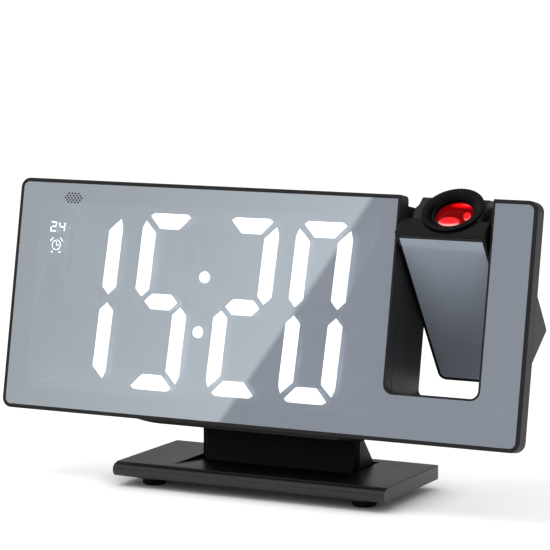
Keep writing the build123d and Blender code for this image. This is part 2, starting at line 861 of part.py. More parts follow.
# ------------------------------------------------------------------ main board
with BuildPart() as main_board:
    with BuildSketch(behind_face(main_board_depth)):
        with Locations(((main_board_left + main_board_right) / 2, (main_board_low + main_board_high) / 2)):
            Rectangle(main_board_right - main_board_left, main_board_high - main_board_low)
        with Locations(*post_spots):
            Circle(screw_pass, mode=Mode.SUBTRACT)
    extrude(amount=-main_board_thickness)
save(main_board, "main_board")

with BuildPart() as board_chips:
    with BuildSketch(behind_face(board_back)):
        with Locations(processor_spot):
            Rectangle(processor_size, processor_size)
        with Locations(regulator_spot):
            Rectangle(*regulator_size)
    extrude(amount=-processor_height)
save(board_chips, "board_chips")

with BuildPart() as board_headers:
    with BuildSketch(behind_face(reflector_back + board_thickness)):
        with Locations(header_spot):
            Rectangle(*header_size)
    extrude(amount=-header_height)
    with BuildSketch(behind_face(main_board_depth - header_height)):
        with Locations(header_spot):
            Rectangle(*header_size)
    extrude(amount=-header_height)
    with BuildSketch(behind_face(main_board_depth - plug_height)):
        with Locations((main_board_right - plug_size[0] / 2, hinge_up - plug_drop)):
            Rectangle(*plug_size)
    extrude(amount=-plug_height)
save(board_headers, "board_headers")

with BuildPart() as ribbon_cable:
    ribbon_from = reflector_back + board_thickness + header_height
    ribbon_to = main_board_depth - header_height
    ribbon_level = header_spot[1] - hinge_up
    with BuildSketch(hinge_side(header_spot[0] - ribbon_width / 2)):
        ribbon_start, ribbon_stop = ribbon_from - hinge_back, ribbon_to - hinge_back
        ribbon_middle = (ribbon_start + ribbon_stop) / 2
        Polygon(
            (ribbon_start, ribbon_level),
            (ribbon_middle, ribbon_level + ribbon_bow),
            (ribbon_stop, ribbon_level),
            (ribbon_stop, ribbon_level + ribbon_thickness),
            (ribbon_middle, ribbon_level + ribbon_bow + ribbon_thickness),
            (ribbon_start, ribbon_level + ribbon_thickness),
            align=None,
        )
    extrude(amount=ribbon_width)
save(ribbon_cable, "ribbon_cable")

# ------------------------------------------------------------------ buttons, their switches and the slider
plunger_end = board_back + switch_height + plunger_height
flange_rear = wall_inside - move_gap
snooze_level = hump_top - housing_wall - move_gap
snooze_switch_depth = board_back + switch_height / 2

with BuildPart() as tact_switches:
    with BuildSketch(behind_face(board_back)):
        with Locations(*button_spots.values()):
            Rectangle(switch_size, switch_size)
        with Locations((snooze_centre, snooze_switch_top - switch_size / 2)):
            Rectangle(switch_size, switch_size)
    extrude(amount=-switch_height)
    with BuildSketch(behind_face(board_back + switch_height)):
        with Locations(*button_spots.values()):
            Circle(plunger_radius)
    extrude(amount=-plunger_height)
    with BuildSketch(along_face(snooze_switch_top)):
        with Locations((snooze_centre, snooze_switch_depth)):
            Circle(plunger_radius)
    extrude(amount=plunger_height)
save(tact_switches, "tact_switches")

for button_name, button_spot in button_spots.items():
    with BuildPart() as button:
        with BuildSketch(behind_face(back_depth + button_proud)):
            with Locations(button_spot):
                Circle(button_radius)
        extrude(amount=back_depth + button_proud - flange_rear)
        fillet(button.edges().sort_by(Axis(face_foot, face_back))[-1], button_proud / 3)
        with BuildSketch(behind_face(flange_rear)):
            with Locations(button_spot):
                Circle(button_radius + button_flange_width)
        extrude(amount=button_flange)
        with BuildSketch(behind_face(flange_rear - button_flange)):
            with Locations(button_spot):
                Circle(button_stem)
        extrude(amount=flange_rear - button_flange - plunger_end - button_travel - press_room)
    save(button, button_name)

with BuildPart() as snooze_bar:
    with BuildSketch(along_face(snooze_level)):
        with Locations((snooze_centre, snooze_depth)):
            RectangleRounded(snooze_length, snooze_width, snooze_corner)
    extrude(amount=hump_top + snooze_proud - snooze_level)
    fillet(snooze_bar.faces().sort_by(Axis(face_foot, face_up))[-1].edges(), snooze_proud / 3)
    with BuildSketch(along_face(snooze_level)):
        with Locations((snooze_centre, snooze_depth)):
            Rectangle(snooze_length + 2 * snooze_flange_width, snooze_width + 2 * snooze_flange_width)
    extrude(amount=-snooze_flange)
    with BuildSketch(along_face(snooze_level - snooze_flange)):
        with Locations((snooze_centre, snooze_switch_depth)):
            Circle(button_stem)
    stem_end = snooze_switch_top + plunger_height + button_travel + press_room
    extrude(amount=stem_end - snooze_level + snooze_flange)
save(snooze_bar, "snooze_bar")

slider_frame_end = flange_rear - button_flange - slider_frame_gap
with BuildPart() as slider_switch:
    with BuildSketch(behind_face(board_back)):
        with Locations(slider_spot):
            Rectangle(*slider_frame)
    extrude(amount=board_back - slider_frame_end)
    with BuildSketch(behind_face(slider_frame_end)):
        with Locations(slider_spot):
            Rectangle(slider_stem[0] + 2 * (slider_travel + move_gap), slider_stem[1] + 2 * move_gap)
    extrude(amount=slider_trough, mode=Mode.SUBTRACT)
save(slider_switch, "slider_switch")

with BuildPart() as brightness_knob:
    with BuildSketch(behind_face(back_depth + slider_proud)):
        with Locations(slider_spot):
            Rectangle(*slider_size)
    extrude(amount=back_depth + slider_proud - flange_rear)
    with BuildSketch(behind_face(flange_rear)):
        with Locations(slider_spot):
            Rectangle(*slider_plate)
    extrude(amount=button_flange)
    with BuildSketch(behind_face(flange_rear - button_flange)):
        with Locations(slider_spot):
            Rectangle(*slider_stem)
    extrude(amount=slider_frame_gap + slider_reach)
save(brightness_knob, "brightness_knob")

# ------------------------------------------------------------------ sockets, speaker and coin cell
with BuildPart() as power_inlet:
    with BuildSketch(behind_face(board_back)):
        with Locations(inlet_spot):
            Rectangle(inlet_body, inlet_body)
    extrude(amount=board_back - wall_inside)
    with BuildSketch(behind_face(wall_inside)):
        with Locations(inlet_spot):
            Circle(inlet_radius + inlet_wall)
    extrude(amount=socket_sink - housing_wall)
    with BuildSketch(behind_face(back_depth)):
        with Locations(inlet_spot):
            Circle(inlet_radius)
    extrude(amount=inlet_bore_depth, mode=Mode.SUBTRACT)
save(power_inlet, "power_inlet")

with BuildPart() as inlet_pin:
    with BuildSketch(behind_face(back_depth - inlet_bore_depth)):
        with Locations(inlet_spot):
            Circle(inlet_pin_radius)
    extrude(amount=tongue_sink - inlet_bore_depth)
save(inlet_pin, "inlet_pin")

with BuildPart() as charge_outlet:
    with BuildSketch(behind_face(board_back)):
        with Locations(outlet_spot):
            Rectangle(*outlet_size)
    extrude(amount=board_back - back_depth + socket_sink)
    with BuildSketch(behind_face(back_depth)):
        with Locations(outlet_spot):
            Rectangle(outlet_size[0] - 2 * outlet_wall, outlet_size[1] - 2 * outlet_wall)
    extrude(amount=outlet_bore_depth, mode=Mode.SUBTRACT)
save(charge_outlet, "charge_outlet")

with BuildPart() as outlet_tongue:
    with BuildSketch(behind_face(back_depth - outlet_bore_depth)):
        with Locations((outlet_spot[0], outlet_spot[1] + outlet_size[1] / 4 - outlet_wall / 2)):
            Rectangle(*tongue_size)
    extrude(amount=tongue_sink - outlet_bore_depth)
save(outlet_tongue, "outlet_tongue")

with BuildPart() as speaker:
    with BuildSketch(behind_face(wall_inside)):
        with Locations(speaker_spot):
            Circle(speaker_radius)
    extrude(amount=speaker_height)
    with BuildSketch(behind_face(wall_inside - speaker_height)):
        with Locations(speaker_spot):
            Circle(magnet_radius)
    extrude(amount=magnet_height)
    with BuildSketch(behind_face(wall_inside)):
        with Locations(speaker_spot):
            Circle(speaker_radius - cup_wall)
    extrude(amount=cup_wall, mode=Mode.SUBTRACT)
save(speaker, "speaker")

cell_back = cell_front + cell_thickness
cup_front = cell_front - contact_thickness - cup_floor
lug_back = wall_inside - lug_gap
with BuildPart() as cell_holder:
    with BuildSketch(behind_face(wall_inside)):
        with Locations(cell_spot):
            Circle(lid_radius + lug_reach + lug_gap + cup_wall)
    extrude(amount=wall_inside - cup_front)
    with BuildSketch(behind_face(wall_inside)):
        with Locations(cell_spot):
            Circle(lid_radius + lug_reach + lug_gap)
    extrude(amount=wall_inside - cell_back, mode=Mode.SUBTRACT)
    with BuildSketch(behind_face(cell_back)):
        with Locations(cell_spot):
            Circle(cell_radius + cell_play)
    extrude(amount=cell_thickness + contact_thickness, mode=Mode.SUBTRACT)
    with BuildSketch(behind_face(cup_front)):
        with Locations(cell_spot):
            Circle(cup_post)
    extrude(amount=cup_front - board_back)
save(cell_holder, "cell_holder")

with BuildPart() as cell_contact:
    with BuildSketch(behind_face(cell_front)):
        with Locations(cell_spot):
            Rectangle(*contact_size)
    extrude(amount=contact_thickness)
save(cell_contact, "cell_contact")

with BuildPart() as coin_cell:
    with BuildSketch(behind_face(cell_back)):
        with Locations(cell_spot):
            Circle(cell_radius)
    extrude(amount=cell_thickness)
    fillet(coin_cell.edges(), contact_thickness)
save(coin_cell, "coin_cell")

with BuildPart() as battery_lid:
    with BuildSketch(behind_face(back_depth)):
        with Locations(cell_spot):
            Circle(lid_radius)
    extrude(amount=back_depth - cell_back - lid_clearance)
    lug_reach_out = 2 * (lid_radius + lug_reach)
    with BuildSketch(behind_face(lug_back)):
        with Locations(cell_spot):
            Circle(lid_radius + lug_reach)
            lug_width = 2 * (lid_radius + lug_reach) * sin(radians(lug_half))
            Rectangle(lug_reach_out, lug_width, mode=Mode.INTERSECT)
    extrude(amount=lug_back - cell_back - lid_clearance)
    with BuildSketch(behind_face(back_depth)):
        with Locations(cell_spot):
            Rectangle(*coin_slot)
    extrude(amount=coin_slot_depth, mode=Mode.SUBTRACT)
save(battery_lid, "battery_lid")

# ================================================================== projector arm
lens_spot = (lens_side, lens_back)
cover_skin_back = mirror_sink + arm_mirror_thickness + arm_skin
arm_screw_spots = [(side * arm_screw_half, arm_screw_up - arm_length) for side in (-1, 1)]

with BuildPart() as arm_front_cover:
    with BuildSketch(behind_arm(0)):
        arm_outline(0, 0, 0, arm_corner)
    extrude(amount=-arm_cover_depth)
    with BuildSketch(behind_arm(cover_skin_back)):
        arm_outline(arm_wall, arm_wall, arm_wall, arm_corner - arm_wall)
    extrude(amount=cover_skin_back - arm_cover_depth, mode=Mode.SUBTRACT)
    with BuildSketch(behind_arm(0)):
        arm_outline(arm_lip, arm_lip_top, arm_lip_low, arm_corner - arm_lip)
    extrude(amount=-mirror_sink - arm_mirror_thickness, mode=Mode.SUBTRACT)
    with BuildSketch(behind_arm(cover_skin_back)):
        with Locations(*arm_screw_spots):
            Circle(arm_post_radius)
    extrude(amount=cover_skin_back - arm_cover_depth)
    with BuildSketch(behind_arm(arm_cover_depth)):
        with Locations(*arm_screw_spots):
            Circle(screw_radius)
    extrude(amount=arm_cover_depth - cover_skin_back, mode=Mode.SUBTRACT)
    with BuildSketch(along_arm(0)):
        with Locations(lens_spot):
            Circle(tube_radius + focus_play)
    extrude(amount=-arm_wall, mode=Mode.SUBTRACT)
save(arm_front_cover, "arm_front_cover")

with BuildPart() as arm_mirror:
    with BuildSketch(behind_arm(mirror_sink)):
        arm_outline(
            arm_lip + focus_play, arm_lip_top + focus_play, arm_lip_low + focus_play, arm_corner - arm_lip
        )
    extrude(amount=-arm_mirror_thickness)
save(arm_mirror, "arm_mirror")

arm_outer = arm_block(0)
arm_inner = arm_block(arm_wall)
with BuildPart() as arm_rear_housing:
    add(arm_outer)
    add(arm_inner, mode=Mode.SUBTRACT)
    for start, reach in ((-barrel_face, -1), (barrel_face, 1)):
        with BuildSketch(beside_arm(start)):
            with Locations((hinge_back, -hinge_drop)):
                Circle(barrel_radius)
            with Locations((arm_cover_depth - barrel_radius, -hinge_drop)):
                Rectangle(2 * barrel_radius, 2 * barrel_radius, mode=Mode.SUBTRACT)
        extrude(amount=reach * (slot_width / 2 - barrel_gap - barrel_face))
    with BuildSketch(behind_arm(arm_thickness)):
        with Locations(*arm_screw_spots):
            Circle(arm_post_radius)
    extrude(amount=arm_thickness - arm_cover_depth)
    with BuildSketch(behind_arm(arm_thickness)):
        with Locations(*arm_screw_spots):
            Circle(screw_sink)
    extrude(amount=arm_thickness - arm_well_floor, mode=Mode.SUBTRACT)
    with BuildSketch(behind_arm(arm_well_floor)):
        with Locations(*arm_screw_spots):
            Circle(screw_pass)
    extrude(amount=arm_well_floor - arm_cover_depth, mode=Mode.SUBTRACT)
    with BuildSketch(beside_arm(-arm_width / 2)):
        with Locations((hinge_back, -hinge_drop)):
            Circle(pin_radius)
    extrude(amount=arm_width, mode=Mode.SUBTRACT)
    with BuildSketch(along_arm(0)):
        with Locations(lens_spot):
            Circle(tube_radius + focus_play)
    extrude(amount=-arm_back_chamfer, mode=Mode.SUBTRACT)
    with BuildSketch(behind_arm(arm_thickness)):
        with Locations((0, -arm_button_level)):
            Circle(arm_button_radius + move_gap)
    extrude(amount=arm_wall, mode=Mode.SUBTRACT)
save(arm_rear_housing, "arm_rear_housing")

arm_screws = screw_group(behind_arm(arm_well_floor), arm_screw_spots, arm_screw_length, -1)
save(arm_screws, "arm_screws")

# ------------------------------------------------------------------ hinge pins with their washers and clips
hinge_spot = (hinge_back, -hinge_drop)


def hinge_shaft(side, bore):
    """One hinge pin with the groove for its clip, on the arm's left (-1) or right (1) side."""
    with BuildPart() as shaft:
        with BuildSketch(beside_arm(side * barrel_face)):
            with Locations(hinge_spot):
                Circle(pin_radius)
        extrude(amount=side * (pin_face - barrel_face))
        with BuildSketch(beside_arm(side * clip_face)):
            with Locations(hinge_spot):
                Circle(pin_radius + fit_gap)
                Circle(pin_groove_radius, mode=Mode.SUBTRACT)
        extrude(amount=side * clip_thickness, mode=Mode.SUBTRACT)
        if bore:
            with BuildSketch(beside_arm(side * barrel_face)):
                with Locations(hinge_spot):
                    Circle(bore)
            extrude(amount=side * (pin_face - barrel_face), mode=Mode.SUBTRACT)
    return shaft


hinge_tube = hinge_shaft(-1, wire_bore)
save(hinge_tube, "hinge_tube")
hinge_pin = hinge_shaft(1, 0)
save(hinge_pin, "hinge_pin")

with BuildPart() as hinge_washers:
    for side in (-1, 1):
        with BuildSketch(beside_arm(side * washer_face)):
            with Locations(hinge_spot):
                Circle(washer_radius)
                Circle(pin_radius, mode=Mode.SUBTRACT)
        extrude(amount=side * washer_thickness)
save(hinge_washers, "hinge_washers")

with BuildPart() as hinge_clips:
    for side in (-1, 1):
        with BuildSketch(beside_arm(side * clip_face)):
            with Locations(hinge_spot):
                Circle(clip_radius)
                Circle(pin_groove_radius, mode=Mode.SUBTRACT)
            with Locations((hinge_back + clip_radius, -hinge_drop)):
                Rectangle(2 * clip_radius, clip_mouth, mode=Mode.SUBTRACT)
        extrude(amount=side * clip_thickness)
save(hinge_clips, "hinge_clips")

# the projector's cable runs through the hollow pin, and turns down inside the arm
cable_out = barrel_face - thrust_gap - cable_radius
led_board_level = light_box_top + light_box_length
with BuildPart() as arm_cable:
    with BuildSketch(beside_arm(-pin_face)):
        with Locations(hinge_spot):
            Circle(cable_radius)
    extrude(amount=pin_face - cable_out)
    with Locations(along_arm(hinge_drop).location):
        with Locations((-cable_out, hinge_back)):
            Sphere(cable_radius)
    with BuildSketch(along_arm(hinge_drop)):
        with Locations((-cable_out, hinge_back)):
            Circle(cable_radius)
    extrude(amount=hinge_drop - led_board_level)
save(arm_cable, "arm_cable")

cable_in = slot_middle - pin_face - fit_gap
cable_turn = main_board_right - plug_size[0] / 2
with BuildPart() as board_cable:
    with BuildSketch(hinge_side(cable_turn)):
        Circle(cable_radius)
    extrude(amount=cable_in - cable_turn)
    with Locations(hinge_side(cable_turn).location):
        Sphere(cable_radius)
    with BuildSketch(along_face(hinge_up)):
        with Locations((cable_turn, hinge_back)):
            Circle(cable_radius)
    extrude(amount=plug_size[1] / 2 - plug_drop)
save(board_cable, "board_cable")

# ------------------------------------------------------------------ lens, focus and light
with BuildPart() as lens_tube:
    with BuildSketch(along_arm(0)):
        with Locations(lens_spot):
            Circle(tube_radius)
            Circle(tube_radius - tube_wall, mode=Mode.SUBTRACT)
    extrude(amount=-light_box_top)
save(lens_tube, "lens_tube")

skirt_outer = tube_radius - tube_wall - focus_play
skirt_inner = skirt_outer - skirt_wall
barrel_outer = skirt_inner - focus_play
barrel_inner = barrel_outer - barrel_wall
ring_top = move_gap + ring_height
lens_axis = Axis(arm_top + Vector(lens_side, 0, 0) + arm_back * lens_back, arm_up)


def round_lens_part(profile):
    """A piece turned about the lens axis, from points given as radius and height above the arm's top."""
    with BuildPart() as turned:
        with BuildSketch(beside_arm(lens_side)):
            Polygon(*[(lens_back + radius, height) for radius, height in profile], align=None)
        revolve(axis=lens_axis)
    return turned


focus_blank = round_lens_part([
    (skirt_inner, -ring_skirt), (skirt_outer, -ring_skirt), (skirt_outer, move_gap), (ring_radius, move_gap),
    (ring_radius, ring_top), (cone_radius, ring_top), (skirt_inner, ring_top - cone_depth),
])
with BuildPart() as focus_ring:
    add(focus_blank.part)
    with BuildSketch(along_arm(-ring_top)):
        with Locations(lens_spot):
            with PolarLocations(ring_radius, ring_notches):
                Circle(ring_notch)
    extrude(amount=-ring_height, mode=Mode.SUBTRACT)
save(focus_ring, "focus_ring")

lens_barrel = round_lens_part([
    (barrel_inner - barrel_step, -barrel_length), (barrel_outer, -barrel_length), (barrel_outer, -barrel_drop),
    (barrel_inner, -barrel_drop), (barrel_inner, -lens_low), (barrel_inner - barrel_step, -lens_low),
])
save(lens_barrel, "lens_barrel")

with BuildPart() as projection_lens:
    lens_radius = barrel_inner - focus_play
    with BuildSketch(beside_arm(lens_side)):
        with BuildLine():
            Polyline(
                (lens_back, -lens_crown), (lens_back, -lens_low),
                (lens_back + lens_radius, -lens_low), (lens_back + lens_radius, -lens_edge),
            )
            TangentArc((lens_back, -lens_crown), (lens_back + lens_radius, -lens_edge), tangent=(1, 0))
        make_face()
    revolve(axis=lens_axis)
save(projection_lens, "projection_lens")

lens_retainer = round_lens_part([
    (barrel_inner - barrel_step, -retainer_level), (barrel_inner, -retainer_level),
    (barrel_inner, retainer_height - retainer_level),
    (barrel_inner - barrel_step, retainer_height - retainer_level),
])
save(lens_retainer, "lens_retainer")

box_inside = light_box_width - 2 * light_box_wall
with BuildPart() as light_box:
    with BuildSketch(along_arm(light_box_top)):
        with Locations(lens_spot):
            Rectangle(light_box_width, light_box_width)
            Circle(light_box_mouth, mode=Mode.SUBTRACT)
    extrude(amount=-light_box_length)
    with BuildSketch(along_arm(light_box_top + light_box_wall)):
        with Locations(lens_spot):
            Rectangle(box_inside, box_inside)
    extrude(amount=light_box_wall - light_box_length, mode=Mode.SUBTRACT)
save(light_box, "light_box")

with BuildPart() as lcd_slide:
    with BuildSketch(along_arm(slide_level)):
        with Locations(lens_spot):
            Rectangle(box_inside, box_inside)
    extrude(amount=-slide_thickness)
save(lcd_slide, "lcd_slide")

with BuildPart() as condenser_lens:
    with BuildSketch(beside_arm(lens_side)):
        with BuildLine():
            rim_top = -condenser_level - condenser_bulge
            rim_low = rim_top - condenser_rim
            crown = (lens_back, -condenser_level)
            heel = (lens_back, rim_low - condenser_bulge)
            TangentArc(crown, (lens_back + condenser_radius, rim_top), tangent=(1, 0))
            Line((lens_back + condenser_radius, rim_top), (lens_back + condenser_radius, rim_low))
            TangentArc(heel, (lens_back + condenser_radius, rim_low), tangent=(1, 0))
            Line(heel, crown)
        make_face()
    revolve(axis=lens_axis)
save(condenser_lens, "condenser_lens")

with BuildPart() as projector_led:
    with BuildSketch(along_arm(led_board_level)):
        with Locations(lens_spot):
            Rectangle(led_size, led_size)
    extrude(amount=led_height)
    fillet(projector_led.faces().sort_by(Axis(arm_top, arm_up))[-1].edges(), led_height / 3)
save(projector_led, "projector_led")

with BuildPart() as led_board:
    with BuildSketch(along_arm(led_board_level)):
        with Locations((0, lens_back)):
            Rectangle(led_board_width, light_box_width)
    extrude(amount=-led_board_thickness)
save(led_board, "led_board")

with BuildPart() as heat_sink:
    with BuildSketch(along_arm(led_board_level + led_board_thickness)):
        with Locations(lens_spot):
            Rectangle(light_box_width, light_box_width)
    extrude(amount=-sink_base)
    with BuildSketch(along_arm(led_board_level + led_board_thickness + sink_base)):
        fin_pitch = (light_box_width - fin_thickness) / (fin_count - 1)
        with Locations(lens_spot):
            with GridLocations(fin_pitch, 0, fin_count, 1):
                Rectangle(fin_thickness, light_box_width)
    extrude(amount=sink_base - sink_height)
save(heat_sink, "heat_sink")

arm_switch_front = lens_back + light_box_width / 2
arm_flange_rear = arm_thickness - arm_wall - move_gap
with BuildPart() as arm_switch:
    with BuildSketch(behind_arm(arm_switch_front)):
        with Locations((0, -arm_button_level)):
            Circle(arm_switch_radius)
    extrude(amount=-arm_switch_height)
save(arm_switch, "arm_switch")

with BuildPart() as projector_button:
    with BuildSketch(behind_arm(arm_thickness + arm_button_proud)):
        with Locations((0, -arm_button_level)):
            Circle(arm_button_radius)
    extrude(amount=arm_thickness + arm_button_proud - arm_flange_rear)
    fillet(projector_button.edges().sort_by(Axis(arm_top, arm_back))[-1], arm_button_proud / 3)
    with BuildSketch(behind_arm(arm_flange_rear)):
        with Locations((0, -arm_button_level)):
            Circle(arm_button_radius + button_flange_width)
    extrude(amount=arm_button_flange)
    with BuildSketch(behind_arm(arm_flange_rear - arm_button_flange)):
        with Locations((0, -arm_button_level)):
            Circle(button_stem)
    switch_back = arm_switch_front + arm_switch_height
    extrude(amount=arm_flange_rear - arm_button_flange - switch_back - button_travel - press_room)
save(projector_button, "projector_button")

# ================================================================== stand
recess_slope = recess_depth / (recess_flat - recess_front)
plate_top = -recess_depth - base_wall - fit_gap / 3
plate_bottom = -base_thickness

with BuildPart() as base_cover:
    with BuildSketch(beside_base(-base_width / 2)):
        with BuildLine():
            Polyline(
                (base_front - nose_step, -nose_step), (base_front, -nose_step), (base_front, 0),
                (base_back, 0), (base_back, plate_bottom), (base_front - nose_step, plate_bottom),
            )
            ThreePointArc(
                (base_front - nose_step, plate_bottom),
                (base_front - nose_reach, (plate_bottom - nose_step) / 2),
                (base_front - nose_step, -nose_step),
            )
        make_face()
    extrude(amount=base_width)
    fillet(base_cover.edges().filter_by(Axis.Z).sort_by(Axis.Y)[-2:], base_corner)
    with BuildSketch(above_base(-base_wall)):
        with Locations((0, (base_front + base_hollow + base_back - base_wall) / 2)):
            Rectangle(base_width - 2 * base_wall, base_back - base_wall - base_front - base_hollow)
    extrude(amount=base_wall - base_thickness, mode=Mode.SUBTRACT)
    floor_low = -recess_depth - base_wall
    with BuildSketch(beside_base(-recess_half - base_wall)):
        Polygon(
            (recess_front, -base_wall / 2),
            (recess_front, -base_wall),
            (recess_flat, floor_low),
            (recess_back + base_wall, floor_low),
            (recess_back + base_wall, -base_wall / 2),
            align=None,
        )
    extrude(amount=2 * (recess_half + base_wall))
    with BuildSketch(above_base(-base_wall / 2)):
        with Locations(*base_screw_spots):
            Circle(screw_boss_radius)
    extrude(amount=plate_top + base_wall / 2)
    with BuildSketch(above_base(-base_wall)):
        with Locations(*base_screw_spots):
            Circle(screw_radius)
    extrude(amount=plate_top + base_wall, mode=Mode.SUBTRACT)
    with BuildSketch(beside_base(-recess_half)):
        Polygon(
            (recess_front, 0),
            (recess_flat, -recess_depth),
            (recess_back, -recess_depth),
            (recess_back, 0),
            align=None,
        )
    extrude(amount=2 * recess_half, mode=Mode.SUBTRACT)
    with BuildSketch(above_base(-recess_depth)):
        with Locations(*foot_screw_spots):
            Circle(screw_pass)
    extrude(amount=-base_wall, mode=Mode.SUBTRACT)
save(base_cover, "base_cover")

with BuildPart() as base_bottom:
    with BuildSketch(above_base(plate_top)):
        with Locations((0, (base_front + base_hollow + base_back - base_wall) / 2)):
            Rectangle(
                base_width - 2 * base_wall - 2 * fit_gap,
                base_back - base_wall - base_front - base_hollow - 2 * fit_gap,
            )
    extrude(amount=plate_bottom - plate_top)
    with BuildSketch(above_base(plate_bottom)):
        with Locations(*foot_spots):
            Circle(foot_boss_radius)
    extrude(amount=-foot_boss)
    with BuildSketch(above_base(plate_bottom - foot_boss)):
        with Locations(*foot_spots):
            Circle(foot_radius)
    extrude(amount=foot_seat, mode=Mode.SUBTRACT)
    with BuildSketch(above_base(plate_bottom)):
        with Locations(*base_screw_spots):
            Circle(screw_pass)
        with Locations(*foot_screw_spots):
            Circle(foot_screw_access)
    extrude(amount=plate_top - plate_bottom, mode=Mode.SUBTRACT)
save(base_bottom, "base_bottom")

with BuildPart() as ballast_plates:
    ballast_across = base_width / 2 - ballast_edge
    with BuildSketch(above_base(-base_wall - fit_gap / 3)):
        with Locations((-ballast_across, ballast_middle), (ballast_across, ballast_middle)):
            Rectangle(*ballast_size)
    extrude(amount=-ballast_thickness)
save(ballast_plates, "ballast_plates")

with BuildPart() as rubber_feet:
    with BuildSketch(above_base(-base_thickness - foot_height)):
        with Locations(*foot_spots):
            Circle(foot_radius)
    extrude(amount=foot_height - foot_boss + foot_seat)
    fillet(rubber_feet.faces().sort_by(Axis.Z)[:4].edges(), foot_round)
save(rubber_feet, "rubber_feet")

# the neck follows the housing's rounded lower edge, and screws to its back
hug_radius = hump_round + fit_gap
hug_centre = (back_depth - hump_round, hump_round - saddle_drop)


def on_hug(angle):
    """A point on the curve round the housing's lower rear edge, turned from below towards the back."""
    turn = radians(angle)
    return on_base(hug_centre[0] + hug_radius * sin(turn), hug_centre[1] - hug_radius * cos(turn))


def neck_profile(front, hug_from):
    """The neck's side outline, with its front given as two points or one for an upright edge."""
    foot = [(y, -recess_slope * (y - recess_front)) for y in front]
    with BuildLine() as outline:
        Polyline(on_hug(hug_from), foot[0], (recess_flat, -recess_depth), (neck_foot_back, -recess_depth))
        Polyline(
            (neck_foot_back, -recess_depth), (neck_foot_back, nose_step),
            on_base(back_depth + neck_shoulder, neck_shoulder_up), on_hug(back_hug),
        )
        ThreePointArc(on_hug(back_hug), on_hug((back_hug + hug_from) / 2), on_hug(hug_from))
    make_face(outline.edges())


with BuildPart() as stand_neck:
    core_half = neck_flange_half - neck_flange
    with BuildSketch(beside_base(-core_half)):
        neck_profile([neck_foot_front], core_hug)
    extrude(amount=2 * core_half)
    for start, reach in ((-core_half, -neck_flange), (core_half, neck_flange)):
        with BuildSketch(beside_base(start)):
            neck_profile([neck_flange_front], flange_hug)
        extrude(amount=reach)
    with BuildSketch(beside_base(-core_half + neck_wall)):
        inner_front = neck_foot_front + neck_wall
        inner_back = neck_foot_back - neck_wall
        Polygon(
            (inner_front, -2 * recess_depth),
            (inner_front + neck_wall, neck_hollow_top),
            (inner_front + 2 * neck_wall - neck_cavity_lean, neck_hollow_top),
            (inner_back - neck_cavity_lean, nose_step),
            (inner_back - neck_cavity_lean, -2 * recess_depth),
            align=None,
        )
    extrude(amount=2 * (core_half - neck_wall), mode=Mode.SUBTRACT)
    with BuildSketch(above_base(-recess_depth)):
        with Locations(*foot_screw_spots):
            Circle(screw_boss_radius)
    extrude(amount=recess_depth + foot_post_top)
    with BuildSketch(above_base(-recess_depth)):
        with Locations(*foot_screw_spots):
            Circle(screw_radius)
    extrude(amount=long_screw - base_wall, mode=Mode.SUBTRACT)
    plate_front = back_depth + fit_gap
    with BuildSketch(behind_face(plate_front)):
        with Locations((0, (neck_plate_low + neck_plate_top) / 2)):
            Rectangle(2 * neck_plate_half, neck_plate_top - neck_plate_low)
    extrude(amount=-neck_plate)
    with BuildSketch(behind_face(plate_front + neck_plate)):
        with Locations(*neck_screw_spots):
            Circle(screw_pass)
    extrude(amount=neck_plate, mode=Mode.SUBTRACT)
    with BuildSketch(behind_face(plate_front + neck_plate)):
        with Locations(*neck_screw_spots):
            Circle(screw_sink)
    extrude(amount=screw_head, mode=Mode.SUBTRACT)
save(stand_neck, "stand_neck")

# ================================================================== screws of the clock and its stand
short_groups = [
    screw_group(behind_face(flange_back - screw_head), housing_screw_spots, short_screw, -1),
    screw_group(above_base(plate_bottom), base_screw_spots, short_screw, -1),
]
with BuildPart() as short_screws:
    for group in short_groups:
        add(group.part)
save(short_screws, "short_screws")

long_groups = [
    screw_group(behind_face(main_board_depth), post_spots, long_screw),
    screw_group(behind_face(plate_front + neck_plate - screw_head), neck_screw_spots, long_screw, -1),
    screw_group(above_base(-recess_depth - base_wall), foot_screw_spots, long_screw, -1),
]
with BuildPart() as long_screws:
    for group in long_groups:
        add(group.part)
save(long_screws, "long_screws")
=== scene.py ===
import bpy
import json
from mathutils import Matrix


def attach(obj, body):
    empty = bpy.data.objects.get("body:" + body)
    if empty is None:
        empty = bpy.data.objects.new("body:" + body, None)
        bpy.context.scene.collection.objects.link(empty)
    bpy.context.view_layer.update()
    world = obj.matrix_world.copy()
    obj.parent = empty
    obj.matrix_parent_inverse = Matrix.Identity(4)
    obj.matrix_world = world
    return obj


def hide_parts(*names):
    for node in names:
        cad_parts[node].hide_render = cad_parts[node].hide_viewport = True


bl_info = {
    "name": "Projection Alarm Clock",
    "version": (1, 0, 0),
    "blender": (4, 5, 0),
    "location": "View3D > Sidebar > Alarm Clock",
    "description": "Dresses a mirror-faced projection alarm clock with its finishes, trim and studio",
    "category": "Object",
}

import json
import math

import bmesh
import bpy
from bpy.props import FloatProperty, FloatVectorProperty, PointerProperty
from mathutils import Matrix, Vector

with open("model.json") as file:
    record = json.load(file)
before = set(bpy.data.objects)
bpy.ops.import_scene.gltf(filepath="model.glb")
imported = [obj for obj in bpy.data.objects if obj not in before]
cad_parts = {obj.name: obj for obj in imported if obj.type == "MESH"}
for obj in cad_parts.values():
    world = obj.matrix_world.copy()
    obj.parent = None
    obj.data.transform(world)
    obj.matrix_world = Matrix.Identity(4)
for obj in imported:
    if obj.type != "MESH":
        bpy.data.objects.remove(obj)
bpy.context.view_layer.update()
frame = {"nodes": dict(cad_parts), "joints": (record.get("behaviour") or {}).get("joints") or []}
NODES = frame["nodes"]
JOINTS = {joint["name"]: joint for joint in frame["joints"]}

MM = 0.001

